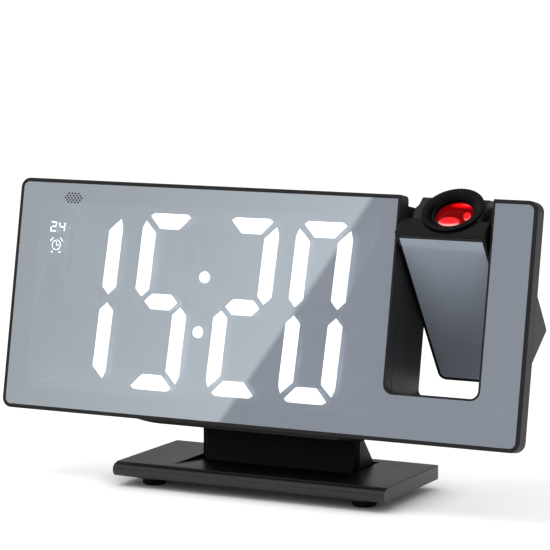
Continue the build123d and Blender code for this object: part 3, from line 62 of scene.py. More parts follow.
# The tilted face: the arm's hinge lies this far up it and behind it
HINGE_POINT = Vector(JOINTS["arm_hinge"]["pos_m"])
HINGE_UP = 69.55 * MM
HINGE_BACK = 15.3 * MM
FACE_TILT = math.radians(10.9)
FACE_UP = Vector((0, math.sin(FACE_TILT), math.cos(FACE_TILT)))
FACE_BACK = Vector((0, math.cos(FACE_TILT), -math.sin(FACE_TILT)))
FACE_OUT = -FACE_BACK
SIDEWAYS = Vector((1, 0, 0))
FACE_FOOT = Vector((0, HINGE_POINT.y, HINGE_POINT.z)) - FACE_UP * HINGE_UP - FACE_BACK * HINGE_BACK
MIRROR_SINK = 0.1 * MM

# The arm: its lens's axis, and the direction of its back
LENS_AXIS = Vector(JOINTS["focus_turn"]["axis"]).normalized()
LENS_POINT = Vector(JOINTS["focus_turn"]["pos_m"])
ARM_BACK = SIDEWAYS.cross(LENS_AXIS) * -1

# Working a copy of a CAD mesh: points this close are merged, faces this flat are joined, edges this sharp
# are rounded, edges up to this sharp look smooth, and a face this much along a direction looks that way
WELD = 0.002 * MM
FLAT_ANGLE = math.radians(0.6)
ROUNDED_FROM = math.radians(40)
SMOOTH_UP_TO = math.radians(32)
FACES_ALONG = 0.999

# Printed films, each set a little into the surface that carries it
BACKING_SINK = 0.03 * MM
BACKING_THICKNESS = 0.03 * MM
BROW_SINK = 0.02 * MM
BROW_THICKNESS = 0.04 * MM

# The light sensor's window: dots in each row, the pitch along a row and the drop to the next one, the place
# of its middle across and up the face, and each dot
SENSOR_ROWS = (4, 5, 6, 5, 4)
SENSOR_PITCH = 1.28 * MM
SENSOR_DROP = 0.76 * MM
SENSOR_ACROSS = -73.7 * MM
SENSOR_UP = 73.0 * MM
DOT_RADIUS = 0.33 * MM
DOT_THICKNESS = 0.06 * MM
DOT_SINK = MIRROR_SINK - 0.01 * MM
DOT_SIDES = 14

# Grain of the moulded finishes: how often their tone drifts, and the height of the bump
DRIFT_SCALE = 45
BUMP_HEIGHT = 0.00005

# The camera, and the point that the lamps are aimed at
CAMERA_SPOT = Vector((0.38446, -0.778852, 0.179796))
CAMERA_TURN = (math.radians(90 - 7.181), 0, math.radians(26.633))
FILM_WIDTH = 36
CLOCK_MIDDLE = Vector((0, 0, 0.05))

# The floor: how strongly it glows white, and the reach and depth of the shade close under the clock
FLOOR_SIZE = 40
FLOOR_GLOW = 0.6
SHADE_REACH = 0.015
SHADE_POWER = 1.5

# The card that the mirror shows: its straight edge crosses these places across and up the face, it stands
# this many times as far from the camera's mirror image as the face does, and its tones spread this far
SHEEN_EDGE = ((40.0 * MM, 79.5 * MM), (-7.3 * MM, 4.6 * MM))
CARD_DISTANCE = 1.5
CARD_SIZE = 4
TONE_SPREAD = 0.35
CARD_TONES = (
    (0.0, (0.68, 0.68, 0.7, 1)),
    (0.36, (0.9, 0.9, 0.9, 1)),
    (0.4998, (1.15, 1.14, 1.14, 1)),
    (0.5, (0.64, 0.635, 0.68, 1)),
    (1.0, (0.66, 0.655, 0.7, 1)),
)


# ---------------------------------------------------------------------- properties
def colour_property(name, text, default):
    return FloatVectorProperty(
        name=name, description=text, default=default, subtype="COLOR", size=3, min=0, max=1
    )


def length_property(name, text, default):
    return FloatProperty(
        name=name, description=text, default=default, subtype="DISTANCE", unit="LENGTH", min=0
    )


def strength_property(name, text, default, unit="NONE"):
    return FloatProperty(name=name, description=text, default=default, min=0, unit=unit)


class ClockFinish(bpy.types.PropertyGroup):
    frame_colour: colour_property("Frame", "Satin plastic of the frame", (0.034, 0.034, 0.0345))
    housing_colour: colour_property("Housing", "Textured plastic of the rear shells", (0.032, 0.032, 0.0325))
    stand_colour: colour_property("Stand", "Textured plastic of the base", (0.008, 0.008, 0.0082))
    mirror_colour: colour_property("Mirror", "Tint of the half-silvered face", (0.61, 0.675, 0.735))
    # The arm mirror's colour is a painted reflection: a pale grey-blue on a nearly dull surface, standing in
    # for what the mirror reflects.
    arm_mirror_painted_reflection: colour_property("Arm mirror", "Tint of the mirror on the arm", (0.56, 0.63, 0.74))
    digit_strength: strength_property("Digit glow", "Strength of the lit bars", 2.8)
    lens_strength: strength_property("Lens glow", "Strength of the projector's red light", 1.0)
    edge_width: length_property("Edge rounding", "Rounding of moulded edges", 0.00028)


class ClockStudio(bpy.types.PropertyGroup):
    key_power: strength_property("Key light", "Power of the large soft light", 11.0, "POWER")
    fill_power: strength_property("Fill light", "Power of the light on the right", 0.8, "POWER")
    world_strength: strength_property("Room light", "Even light from all round", 0.45)
    back_wall: strength_property("Back wall", "Brightness of the wall in the shine", 0.45)
    ceiling: strength_property("Ceiling", "Brightness of the ceiling in the shine", 0.02)
    lens_length: strength_property("Focal length", "Camera lens in millimetres", 170.33, "CAMERA")


# ---------------------------------------------------------------------- shader groups and materials
def fill(tree, node, inputs):
    """Set a node's inputs by name or number, and link those whose value is another node's output."""
    for label, value in inputs.items():
        if isinstance(value, bpy.types.NodeSocket):
            tree.links.new(value, node.inputs[label])
        else:
            node.inputs[label].default_value = value


def add_node(tree, kind, inputs, **settings):
    """A new node with its settings made first and its inputs filled after."""
    node = tree.nodes.new(kind)
    for label, value in settings.items():
        setattr(node, label, value)
    fill(tree, node, inputs)
    return node


def math_node(tree, operation, first, second):
    return add_node(tree, "ShaderNodeMath", {0: first, 1: second}, operation=operation).outputs[0]


def object_place(tree):
    return add_node(tree, "ShaderNodeTexCoord", {}).outputs["Object"]


def place_from(tree, middle, turn):
    """The place on a piece, measured from a middle and along turned axes."""
    inputs = {"Vector": object_place(tree), "Location": middle, "Rotation": turn.to_euler()}
    return add_node(tree, "ShaderNodeMapping", inputs, vector_type="TEXTURE").outputs[0]


def seen_rays(tree):
    """1 for camera, reflected and transmitted rays, which all show the white surroundings."""
    path = add_node(tree, "ShaderNodeLightPath", {}).outputs
    seen = math_node(tree, "MAXIMUM", path["Is Camera Ray"], path["Is Glossy Ray"])
    return math_node(tree, "MAXIMUM", seen, path["Is Transmission Ray"])


def group_with(name, inputs, outputs):
    """A new shader group with named sockets, what its input node gives, and its output node."""
    group = bpy.data.node_groups.new(name, "ShaderNodeTree")
    for label, kind, value in inputs:
        socket = group.interface.new_socket(label, in_out="INPUT", socket_type=kind)
        socket.default_value = value
    for label, kind in outputs:
        group.interface.new_socket(label, in_out="OUTPUT", socket_type=kind)
    return group, group.nodes.new("NodeGroupInput").outputs, group.nodes.new("NodeGroupOutput")


def moulded_grain_group():
    """Fine moulded texture: a small bump, and a colour and a roughness that drift a little."""
    group, given, result = group_with(
        "Moulded grain",
        [
            ("Colour", "NodeSocketColor", (0.05, 0.05, 0.05, 1)),
            ("Tone drift", "NodeSocketFloat", 0.1),
            ("Roughness", "NodeSocketFloat", 0.4),
            ("Roughness drift", "NodeSocketFloat", 0.08),
            ("Grain scale", "NodeSocketFloat", 2500.0),
            ("Grain depth", "NodeSocketFloat", 0.1),
        ],
        [("Colour", "NodeSocketColor"), ("Roughness", "NodeSocketFloat"), ("Normal", "NodeSocketVector")],
    )
    place = object_place(group)
    fine = {"Vector": place, "Scale": given["Grain scale"], "Detail": 3}
    grain = add_node(group, "ShaderNodeTexNoise", fine).outputs["Fac"]
    broad = {"Vector": place, "Scale": DRIFT_SCALE, "Detail": 4}
    drift = add_node(group, "ShaderNodeTexNoise", broad).outputs["Fac"]
    offset = math_node(group, "SUBTRACT", drift, 0.5)
    tone = math_node(group, "MULTIPLY", offset, given["Tone drift"])
    gain = math_node(group, "ADD", tone, 1.0)
    shaded = {0: given["Colour"], "Scale": gain}
    colour = add_node(group, "ShaderNodeVectorMath", shaded, operation="SCALE").outputs[0]
    rough = math_node(group, "MULTIPLY", offset, given["Roughness drift"])
    height = {"Distance": BUMP_HEIGHT, "Strength": given["Grain depth"], "Height": grain}
    normal = add_node(group, "ShaderNodeBump", height).outputs["Normal"]
    roughness = math_node(group, "ADD", rough, given["Roughness"])
    fill(group, result, {"Colour": colour, "Roughness": roughness, "Normal": normal})


def light_pool_group():
    """A soft-edged round mask about a spot, stretched along its axes: light caught in glass."""
    group, given, result = group_with(
        "Light pool",
        [
            ("Place", "NodeSocketVector", (0, 0, 0)),
            ("Middle", "NodeSocketVector", (0, 0, 0)),
            ("Stretch", "NodeSocketVector", (1, 1, 1)),
            ("Full", "NodeSocketFloat", 0.001),
            ("Faded", "NodeSocketFloat", 0.002),
        ],
        [("Mask", "NodeSocketFloat")],
    )

    def vector(operation, inputs, output):
        return add_node(group, "ShaderNodeVectorMath", inputs, operation=operation).outputs[output]

    away = vector("SUBTRACT", {0: given["Place"], 1: given["Middle"]}, "Vector")
    squeezed = vector("DIVIDE", {0: away, 1: given["Stretch"]}, "Vector")
    reach = vector("LENGTH", {0: squeezed}, "Value")
    limits = {"From Min": given["Full"], "From Max": given["Faded"], "To Min": 1, "To Max": 0}
    fade = add_node(group, "ShaderNodeMapRange", {"Value": reach, **limits}, interpolation_type="SMOOTHSTEP")
    fill(group, result, {"Mask": fade.outputs["Result"]})


def principled(tree):
    return tree.nodes["Principled BSDF"]


def new_material(name, inputs):
    """A Principled material with its inputs set."""
    material = bpy.data.materials.new(name)
    material.use_nodes = True
    fill(material.node_tree, principled(material.node_tree), inputs)
    return material


def grained_material(name, colour, roughness, scale, depth, inputs, tone=0.12, drift=0.08):
    """A finish whose colour, roughness and normal come from the grain group."""
    tree = new_material(name, inputs).node_tree
    values = {
        "Colour": (*colour, 1),
        "Tone drift": tone,
        "Roughness": roughness,
        "Roughness drift": drift,
        "Grain scale": scale,
        "Grain depth": depth,
    }
    grain = bpy.data.node_groups["Moulded grain"]
    made = add_node(tree, "ShaderNodeGroup", values, node_tree=grain).outputs
    links = {"Base Color": made["Colour"], "Roughness": made["Roughness"], "Normal": made["Normal"]}
    fill(tree, principled(tree), links)


def wear(piece, material):
    """Give a new piece one material all over."""
    piece.data.materials.clear()
    piece.data.materials.append(material)


def dress(finish, *names):
    """Give CAD nodes one finish all over."""
    for name in names:
        for slot in NODES[name].material_slots:
            slot.material = bpy.data.materials[finish]


# ---------------------------------------------------------------------- mesh helpers
def select_only(*pieces):
    """Select these pieces and nothing else, the first of them active."""
    bpy.ops.object.select_all(action="DESELECT")
    for piece in pieces:
        piece.select_set(True)
    bpy.context.view_layer.objects.active = pieces[0]


def settle(piece):
    """Put a finished piece's place into its mesh, and leave its object at the origin."""
    select_only(piece)
    bpy.ops.object.transform_apply(location=True, rotation=True, scale=True)


def bare_copy(node, name):
    """A merged copy of a CAD node's mesh, left in edit mode."""
    piece = bpy.data.objects.new(name, NODES[node].data.copy())
    bpy.context.scene.collection.objects.link(piece)
    select_only(piece)
    bpy.ops.object.mode_set(mode="EDIT")
    bpy.ops.mesh.select_all(action="SELECT")
    bpy.ops.mesh.remove_doubles(threshold=WELD)
    bpy.ops.mesh.dissolve_limited(angle_limit=FLAT_ANGLE)
    return piece


def keep_side(piece, outward):
    """In edit mode, delete the faces that don't look outward, and select the rest."""
    mesh = bmesh.from_edit_mesh(piece.data)
    for face in mesh.faces:
        face.select_set(face.normal.dot(outward) <= FACES_ALONG)
    bmesh.update_edit_mesh(piece.data)
    bpy.ops.mesh.delete(type="FACE")
    bpy.ops.mesh.select_all(action="SELECT")


def thicken(piece, outward, lift, thickness):
    """In edit mode, lift a flat film off its surface, give it a thickness outwards and leave edit mode."""
    bpy.ops.mesh.select_all(action="SELECT")
    bpy.ops.transform.translate(value=outward * lift)
    bpy.ops.mesh.extrude_region_move(TRANSFORM_OT_translate={"value": outward * thickness})
    bpy.ops.mesh.select_all(action="SELECT")
    bpy.ops.mesh.normals_make_consistent(inside=False)
    bpy.ops.object.mode_set(mode="OBJECT")


def softened_shell(node, name, body, finish, share=1.0):
    """A moulded shell with small rounded edges, worked from a copy of its CAD solid."""
    shell = bare_copy(node, name)
    bpy.ops.object.mode_set(mode="OBJECT")
    rounding = shell.modifiers.new("Rounded edges", "BEVEL")
    rounding.width = bpy.context.scene.clock_finish.edge_width * share
    rounding.segments = 2
    rounding.limit_method = "ANGLE"
    rounding.angle_limit = ROUNDED_FROM
    rounding.use_clamp_overlap = False
    bpy.ops.object.modifier_apply(modifier=rounding.name)
    bpy.ops.object.shade_smooth_by_angle(angle=SMOOTH_UP_TO)
    flats = shell.modifiers.new("Flat faces kept flat", "WEIGHTED_NORMAL")
    flats.weight = 100
    flats.keep_sharp = True
    bpy.ops.object.modifier_apply(modifier=flats.name)
    wear(shell, bpy.data.materials[finish])
    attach(shell, body)
    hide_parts(node)


# ---------------------------------------------------------------------- operators
class CLOCK_OT_finishes(bpy.types.Operator):
    """Make the finishes that the pieces share"""

    bl_idname = "clock.finishes"
    bl_label = "Finishes"

    def execute(self, context):
        finish = context.scene.clock_finish
        moulded_grain_group()
        light_pool_group()
        self.plastics(finish)
        self.metals()
        self.mirrors(finish)
        self.lamps(finish)
        self.lens(finish)
        return {"FINISHED"}

    def plastics(self, finish):
        for name, colour, roughness, scale, depth, specular in (
            ("Frame plastic", finish.frame_colour, 0.4, 3200, 0.04, 0.1),
            ("Arm plastic", (0.006, 0.006, 0.0064), 0.26, 3200, 0.06, 0.14),
            ("Ring plastic", (0.003, 0.003, 0.0032), 0.24, 3200, 0.02, 0.1),
            ("Housing plastic", finish.housing_colour, 0.42, 2200, 0.35, 0.15),
            ("Stand plastic", finish.stand_colour, 0.34, 2600, 0.12, 0.5),
            ("Neck plastic", (0.004, 0.004, 0.0043), 0.4, 2600, 0.12, 0.08),
            ("Button plastic", (0.035, 0.035, 0.037), 0.5, 2600, 0.2, 0.2),
            ("Rubber", (0.006, 0.006, 0.006), 0.75, 2500, 0.4, 0.08),
            ("Black inner plastic", (0.012, 0.012, 0.013), 0.5, 1800, 0.3, 0.5),
            ("Chip mould", (0.02, 0.02, 0.022), 0.45, 2400, 0.3, 0.5),
            ("Pale chip mould", (0.75, 0.7, 0.45), 0.4, 1600, 0.1, 0.5),
            ("Cable jacket", (0.5, 0.5, 0.52), 0.45, 1500, 0.15, 0.5),
        ):
            grained_material(name, colour, roughness, scale, depth, {"Specular IOR Level": specular})
        grained_material("Circuit board", (0.01, 0.07, 0.035), 0.35, 900, 0.15, {}, tone=0.35)

    def metals(self):
        for name, colour, roughness, scale, depth in (
            ("Zinc plated steel", (0.58, 0.58, 0.6), 0.3, 1400, 0.1),
            ("Bright nickel", (0.72, 0.71, 0.69), 0.16, 1400, 0.05),
            ("Contact brass", (0.75, 0.55, 0.22), 0.28, 1400, 0.08),
            ("Aluminium", (0.66, 0.67, 0.68), 0.38, 1600, 0.15),
        ):
            grained_material(name, colour, roughness, scale, depth, {"Metallic": 1.0})

    def mirrors(self, finish):
        """The half-silvered face, the arm's mirror with its painted reflection and the prints that go with
        them.
        """
        silvered = {"Metallic": 1.0, "Alpha": 0.62}
        grained_material(
            "Half-silvered mirror", finish.mirror_colour, 0.005, 60, 0.0, silvered, tone=0.02, drift=0.01
        )
        # Painted reflection: the arm's mirror is nearly dull, and its pale grey-blue colour stands in for
        # what a mirror would reflect.
        reflection_as_diffuse = {"Metallic": 0.05, "Specular IOR Level": 0.25}
        grained_material("Arm mirror", finish.arm_mirror_painted_reflection, 0.06, 60, 0.0, reflection_as_diffuse, tone=0.03, drift=0.01)
        grained_material("Mirror backing", (0.002, 0.002, 0.002), 0.7, 900, 0.1, {})
        grained_material("Sensor paint", (0.012, 0.013, 0.016), 0.5, 900, 0.1, {})

    def lamps(self, finish):
        """The lit bars, the dark ones, the black reflector about them and the clear glass of the lamp."""
        lit = {"Base Color": (0.9, 0.92, 0.95, 1), "Roughness": 0.5, "Emission Color": (0.97, 0.985, 1.0, 1)}
        new_material("Lit diffuser", {**lit, "Emission Strength": finish.digit_strength})
        grained_material("Dark diffuser", (0.01, 0.01, 0.011), 0.6, 900, 0.2, {})
        grained_material("Black reflector", (0.008, 0.008, 0.009), 0.6, 900, 0.2, {})
        grained_material("Clear glass", (0.85, 0.88, 0.9), 0.05, 300, 0.0, {}, tone=0.02, drift=0.0)

    def lens(self, finish):
        """Deep red glass that glows, with painted highlights pooled along its front rim, at its right and at
        its back.
        """
        glass = {"Base Color": (0.1, 0.001, 0.001, 1), "Roughness": 0.05, "Specular IOR Level": 0.02}
        tree = new_material("Lit lens", {**glass, "Emission Strength": finish.lens_strength}).node_tree
        spot = place_from(tree, LENS_POINT, Matrix((SIDEWAYS, ARM_BACK, LENS_AXIS)).transposed())
        flat = {0: spot, 1: (1, 1, 0)}
        place = add_node(tree, "ShaderNodeVectorMath", flat, operation="MULTIPLY").outputs[0]
        base = tree.nodes.new("ShaderNodeRGB")
        base.outputs[0].default_value = (0.15, 0.0, 0.001, 1)
        glow = base.outputs[0]
        # Each pool paints a highlight into the lens's emission colour.
        # A pool's middle lies right of and behind the lens's axis. It and the reaches are in millimetres.
        for right, behind, stretch, full, faded, colour in (
            (1.2, 4.4, (2.2, 1.0, 1), 0.8, 2.2, (0.95, 0.004, 0.005, 1)),
            (2.4, 5.0, (1.6, 0.6, 1), 0.3, 1.5, (1.0, 0.07, 0.08, 1)),
            (-0.8, -4.3, (2.7, 1.0, 1), 1.1, 1.6, (1.0, 0.42, 0.4, 1)),
            (-0.6, -3.4, (2.7, 1.0, 1), 1.0, 1.65, (1.0, 0.025, 0.03, 1)),
            (4.8, -1.0, (1.0, 1.5, 1), 0.7, 1.2, (1.0, 0.3, 0.3, 1)),
            (4.5, -0.4, (1.0, 1.5, 1), 0.8, 1.3, (1.0, 0.02, 0.025, 1)),
        ):
            pool = {
                "Place": place,
                "Middle": (right * MM, behind * MM, 0),
                "Stretch": stretch,
                "Full": full * MM,
                "Faded": faded * MM,
            }
            mask = add_node(tree, "ShaderNodeGroup", pool, node_tree=bpy.data.node_groups["Light pool"])
            blend = {"Factor": mask.outputs["Mask"], "A": glow, "B": colour}
            glow = add_node(tree, "ShaderNodeMix", blend, data_type="RGBA").outputs["Result"]
        fill(tree, principled(tree), {"Emission Color": glow})


class CLOCK_OT_inner_parts(bpy.types.Operator):
    """Finish the pieces inside the clock and the arm"""

    bl_idname = "clock.inner_parts"
    bl_label = "Inner parts"

    def execute(self, context):
        dress("Lit diffuser", "lit_segments", "indicator_lights")
        dress("Dark diffuser", "unlit_segments")
        dress("Black reflector", "segment_reflector")
        dress("Circuit board", "display_board", "main_board", "led_board")
        dress("Chip mould", "board_chips", "board_headers", "tact_switches", "slider_switch")
        dress("Pale chip mould", "display_chips", "projector_led")
        dress("Cable jacket", "ribbon_cable", "arm_cable", "board_cable")
        dress("Black inner plastic", "cell_holder", "speaker", "power_inlet", "outlet_tongue")
        dress("Black inner plastic", "light_box", "lens_tube")
        dress("Zinc plated steel", "long_screws", "short_screws", "arm_screws", "ballast_plates")
        dress("Zinc plated steel", "hinge_tube", "hinge_pin", "hinge_washers", "hinge_clips")
        dress("Bright nickel", "coin_cell", "charge_outlet", "inlet_pin")
        dress("Contact brass", "cell_contact", "arm_switch")
        dress("Aluminium", "heat_sink")
        dress("Clear glass", "condenser_lens", "lcd_slide")
        return {"FINISHED"}


class CLOCK_OT_mirror_face(bpy.types.Operator):
    """Silver the face, back its border with black and dot the light sensor's window"""

    bl_idname = "clock.mirror_face"
    bl_label = "Mirror face"

    border: length_property("Border", "Width of the black backing", 6.2 * MM)

    def execute(self, context):
        dress("Half-silvered mirror", "mirror_panel")
        self.backing()
        self.sensor_window()
        return {"FINISHED"}

    def backing(self):
        """A black border printed on the glass's back: its outline drawn in, and the middle taken out."""
        film = bare_copy("mirror_panel", "mirror_backing")
        keep_side(film, FACE_BACK)
        bpy.ops.mesh.inset(thickness=self.border, depth=0)
        bpy.ops.mesh.delete(type="FACE")
        thicken(film, FACE_OUT, BACKING_SINK, BACKING_THICKNESS)
        wear(film, bpy.data.materials["Mirror backing"])
        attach(film, "clock")

    def sensor_window(self):
        """Rows of small dots, each row standing in the gaps of the one below it."""
        bpy.ops.object.select_all(action="DESELECT")
        bpy.ops.mesh.primitive_cylinder_add(vertices=DOT_SIDES, radius=DOT_RADIUS, depth=DOT_THICKNESS)
        first = bpy.context.active_object
        dots = []
        for row, count in enumerate(SENSOR_ROWS):
            up = SENSOR_UP + (len(SENSOR_ROWS) / 2 - 0.5 - row) * SENSOR_DROP
            for place in range(count):
                dot = self.copy_of(first) if dots else first
                across = SENSOR_ACROSS + (place - (count - 1) / 2) * SENSOR_PITCH
                spot = FACE_FOOT + FACE_BACK * DOT_SINK + SIDEWAYS * across + FACE_UP * up
                turn = Matrix((SIDEWAYS, FACE_UP, FACE_OUT)).transposed().to_4x4()
                dot.matrix_world = Matrix.Translation(spot) @ turn
                dots.append(dot)
        select_only(*dots)
        bpy.ops.object.join()
        window = bpy.context.active_object
        window.name = "sensor_dots"
        settle(window)
        wear(window, bpy.data.materials["Sensor paint"])
        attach(window, "clock")

    def copy_of(self, piece):
        copy = bpy.data.objects.new(piece.name, piece.data.copy())
        bpy.context.scene.collection.objects.link(copy)
        return copy


class CLOCK_OT_clock_shells(bpy.types.Operator):
    """Round the moulded edges of the clock's frame and housing"""

    bl_idname = "clock.clock_shells"
    bl_label = "Frame and housing"

    def execute(self, context):
        softened_shell("front_bezel", "bezel_shell", "clock", "Frame plastic", 0.5)
        softened_shell("rear_housing", "rear_shell", "clock", "Housing plastic", 0.8)
        return {"FINISHED"}


class CLOCK_OT_arm(bpy.types.Operator):
    """Round the arm's moulded edges and finish its mirror"""

    bl_idname = "clock.arm"
    bl_label = "Projector arm"

    brow_depth: length_property("Brow", "Depth of the mirror's black upper band", 1.0 * MM)

    def execute(self, context):
        softened_shell("arm_front_cover", "arm_cover_shell", "projector_arm", "Arm plastic", 0.7)
        softened_shell("arm_rear_housing", "arm_rear_shell", "projector_arm", "Housing plastic")
        dress("Arm mirror", "arm_mirror")
        self.brow()
        return {"FINISHED"}

    def brow(self):
        """The black band along the arm mirror's upper edge."""
        band = bare_copy("arm_mirror", "arm_mirror_brow")
        keep_side(band, -ARM_BACK)
        top = max(spot.co.dot(LENS_AXIS) for spot in bmesh.from_edit_mesh(band.data).verts)
        cut = LENS_AXIS * (top - self.brow_depth)
        bpy.ops.mesh.bisect(plane_co=cut, plane_no=LENS_AXIS, clear_inner=True)
        thicken(band, -ARM_BACK, -BROW_SINK, BROW_THICKNESS)
        wear(band, bpy.data.materials["Mirror backing"])
        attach(band, "projector_arm")


class CLOCK_OT_lens(bpy.types.Operator):
    """Finish the focus ring, the lens barrel and the lit lens"""

    bl_idname = "clock.lens"
    bl_label = "Lens"

    def execute(self, context):
        softened_shell("focus_ring", "focus_ring_grip", "focus_ring", "Ring plastic", 0.4)
        dress("Ring plastic", "lens_barrel", "lens_retainer")
        dress("Lit lens", "projection_lens")
        return {"FINISHED"}


class CLOCK_OT_controls(bpy.types.Operator):
    """Round and finish the buttons, the snooze bar, the dimmer knob and the cell's lid"""

    bl_idname = "clock.controls"
    bl_label = "Controls"

    def execute(self, context):
        for press in ("set", "up", "down", "alarm", "projector"):
            softened_shell(f"{press}_button", f"{press}_button_cap", f"{press}_button", "Button plastic", 0.8)
        softened_shell("snooze_bar", "snooze_bar_cap", "snooze_bar", "Button plastic", 0.8)
        softened_shell("brightness_knob", "brightness_grip", "brightness_knob", "Button plastic", 0.5)
        softened_shell("battery_lid", "battery_cap", "battery_lid", "Housing plastic", 0.5)
        return {"FINISHED"}


class CLOCK_OT_stand(bpy.types.Operator):
    """Round the moulded edges of the base and its neck, and finish the underside and the feet"""

    bl_idname = "clock.stand"
    bl_label = "Stand"

    def execute(self, context):
        softened_shell("base_cover", "base_shell", "clock", "Stand plastic")
        softened_shell("stand_neck", "neck_shell", "clock", "Neck plastic")
        dress("Housing plastic", "base_bottom")
        dress("Rubber", "rubber_feet")
        return {"FINISHED"}


class CLOCK_OT_stage(bpy.types.Operator):
    """Set the floor, the room, the cards that the shine shows, the lights and the camera"""

    bl_idname = "clock.stage"
    bl_label = "Studio"

    def execute(self, context):
        studio = context.scene.clock_studio
        self.floor()
        self.world(studio)
        self.reflected_card()
        self.dim_card("ceiling", size=5, spot=(0, 0, 2.4), tilt=0, strength=studio.ceiling)
        self.dim_card("back_wall", size=8, spot=(0, 2.6, 0), tilt=90, strength=studio.back_wall)
        self.soft_light("key_light", spot=(-0.7, -0.5, 1.9), size=1.3, power=studio.key_power)
        self.soft_light("fill_light", spot=(1.5, -0.3, 0.7), size=0.9, power=studio.fill_power)
        self.camera(studio)
        context.scene.view_settings.view_transform = "Standard"
        return {"FINISHED"}

    def camera(self, studio):
        camera = bpy.data.cameras.new("clock_camera")
        camera.lens = studio.lens_length
        camera.sensor_width = FILM_WIDTH
        camera.clip_start, camera.clip_end = 0.01, 60
        holder = self.hold(camera, CAMERA_SPOT, CAMERA_TURN)
        bpy.context.scene.camera = holder

    def hold(self, thing, spot, turn):
        """Put a camera or a lamp in its place."""
        holder = bpy.data.objects.new(thing.name, thing)
        holder.location = spot
        holder.rotation_euler = turn
        bpy.context.scene.collection.objects.link(holder)
        return holder

    def soft_light(self, name, spot, size, power):
        light = bpy.data.lights.new(name, "AREA")
        light.shape = "DISK"
        light.size = size
        light.energy = power
        aim = CLOCK_MIDDLE - Vector(spot)
        self.hold(light, spot, aim.to_track_quat("-Z", "Y").to_euler())

    def plane(self, name, size, **place):
        bpy.ops.object.select_all(action="DESELECT")
        bpy.ops.mesh.primitive_plane_add(size=size, **place)
        plane = bpy.context.active_object
        plane.name = name
        return plane

    def floor(self):
        floor = self.plane("floor", FLOOR_SIZE)
        settle(floor)
        wear(floor, self.floor_material())

    def floor_material(self):
        """Pale and dull, with a white glow for the rays that see it, which fails close under the clock."""
        pale = {"Base Color": (0.86, 0.86, 0.86, 1), "Roughness": 0.9, "Specular IOR Level": 0.1}
        material = new_material("Pale floor", pale)
        tree = material.node_tree
        open_sky = add_node(tree, "ShaderNodeAmbientOcclusion", {"Distance": SHADE_REACH}).outputs["AO"]
        shade = math_node(tree, "POWER", open_sky, SHADE_POWER)
        lit = math_node(tree, "MULTIPLY", seen_rays(tree), FLOOR_GLOW)
        strength = math_node(tree, "MULTIPLY", lit, shade)
        white = add_node(tree, "ShaderNodeEmission", {"Color": (1, 1, 1, 1), "Strength": strength})
        both = add_node(tree, "ShaderNodeAddShader", {0: principled(tree).outputs[0], 1: white.outputs[0]})
        fill(tree, tree.nodes["Material Output"], {"Surface": both.outputs[0]})
        return material

    def world(self, studio):
        """White for the rays that see it, and an even room light for all others."""
        world = bpy.data.worlds.new("Studio")
        bpy.context.scene.world = world
        world.use_nodes = True
        tree = world.node_tree
        seen = seen_rays(tree)
        rest = math_node(tree, "SUBTRACT", 1.0, seen)
        even = math_node(tree, "MULTIPLY", rest, studio.world_strength)
        strength = math_node(tree, "ADD", seen, even)
        fill(tree, tree.nodes["Background"], {"Color": (1, 1, 1, 1), "Strength": strength})

    def reflected_card(self):
        """A grey card in front of the face, whose straight edge slants across its mirror image."""
        eye = CAMERA_SPOT - 2 * FACE_OUT * (CAMERA_SPOT - FACE_FOOT).dot(FACE_OUT)
        upper, lower = (
            eye + (FACE_FOOT + SIDEWAYS * across + FACE_UP * up - eye) * CARD_DISTANCE
            for across, up in SHEEN_EDGE
        )
        along = (upper - lower).normalized()
        facing = (FACE_FOOT - upper).normalized()
        outward = along.cross(facing).normalized()
        outward = outward if outward.x > 0 else -outward
        middle = (upper + lower) / 2
        turn = Matrix((outward, along, outward.cross(along))).transposed().to_4x4()
        card = self.plane("reflected_card", CARD_SIZE)
        card.matrix_world = Matrix.Translation(middle) @ turn
        settle(card)
        wear(card, self.card_material(middle, turn))
        self.only_in_reflections(card)

    def card_material(self, middle, turn):
        """Tones that change across the card's straight edge, brightest just before it."""
        material = new_material("Grey card", {})
        tree = material.node_tree
        tree.nodes.remove(principled(tree))
        apart = add_node(tree, "ShaderNodeSeparateXYZ", {0: place_from(tree, middle, turn)})
        limits = {"From Min": -TONE_SPREAD, "From Max": TONE_SPREAD}
        spread = add_node(tree, "ShaderNodeMapRange", {"Value": apart.outputs["X"], **limits})
        ramp = add_node(tree, "ShaderNodeValToRGB", {"Fac": spread.outputs["Result"]})
        stops = ramp.color_ramp.elements
        first, *between, last = CARD_TONES
        stops[0].position, stops[0].color = first
        stops[1].position, stops[1].color = last
        for position, colour in between:
            stops.new(position).color = colour
        shine = add_node(tree, "ShaderNodeEmission", {"Color": ramp.outputs["Color"]})
        fill(tree, tree.nodes["Material Output"], {"Surface": shine.outputs[0]})
        return material

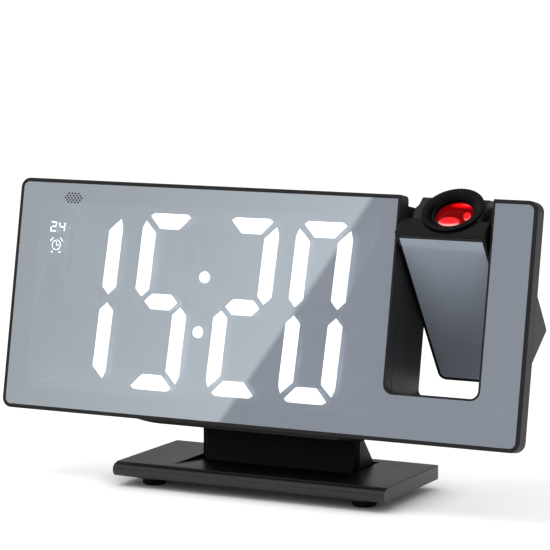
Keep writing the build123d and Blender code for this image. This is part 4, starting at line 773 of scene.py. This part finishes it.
    def dim_card(self, name, size, spot, tilt, strength):
        """A dim card for the dark tones in the black plastic's shine."""
        card = self.plane(name, size, location=spot, rotation=(math.radians(tilt), 0, 0))
        settle(card)
        dark = {"Base Color": (0, 0, 0, 1), "Roughness": 1.0, "Specular IOR Level": 0}
        glow = {"Emission Color": (1, 1, 1, 1), "Emission Strength": strength}
        wear(card, new_material(name, {**dark, **glow}))
        self.only_in_reflections(card)

    def only_in_reflections(self, card):
        for ray in ("camera", "diffuse", "transmission", "shadow"):
            setattr(card, f"visible_{ray}", False)


class CLOCK_PT_panel(bpy.types.Panel):
    bl_idname = "CLOCK_PT_panel"
    bl_label = "Alarm Clock"
    bl_space_type = "VIEW_3D"
    bl_region_type = "UI"
    bl_category = "Alarm Clock"

    def draw(self, context):
        for group in (context.scene.clock_finish, context.scene.clock_studio):
            for name in group.bl_rna.properties.keys():
                if name not in ("rna_type", "name"):
                    self.layout.prop(group, name)
        for operator in OPERATORS:
            self.layout.operator(operator.bl_idname)


OPERATORS = (
    CLOCK_OT_finishes,
    CLOCK_OT_inner_parts,
    CLOCK_OT_mirror_face,
    CLOCK_OT_clock_shells,
    CLOCK_OT_arm,
    CLOCK_OT_lens,
    CLOCK_OT_controls,
    CLOCK_OT_stand,
    CLOCK_OT_stage,
)
CLASSES = (ClockFinish, ClockStudio, *OPERATORS, CLOCK_PT_panel)


def register():
    for item in CLASSES:
        bpy.utils.register_class(item)
    bpy.types.Scene.clock_finish = PointerProperty(type=ClockFinish)
    bpy.types.Scene.clock_studio = PointerProperty(type=ClockStudio)


def unregister():
    del bpy.types.Scene.clock_studio
    del bpy.types.Scene.clock_finish
    for item in reversed(CLASSES):
        bpy.utils.unregister_class(item)


def main():
    register()
    bpy.ops.clock.finishes()
    bpy.ops.clock.inner_parts()
    bpy.ops.clock.mirror_face()
    bpy.ops.clock.clock_shells()
    bpy.ops.clock.arm()
    bpy.ops.clock.lens()
    bpy.ops.clock.controls()
    bpy.ops.clock.stand()
    bpy.ops.clock.stage()


if __name__ == "__main__":
    main()
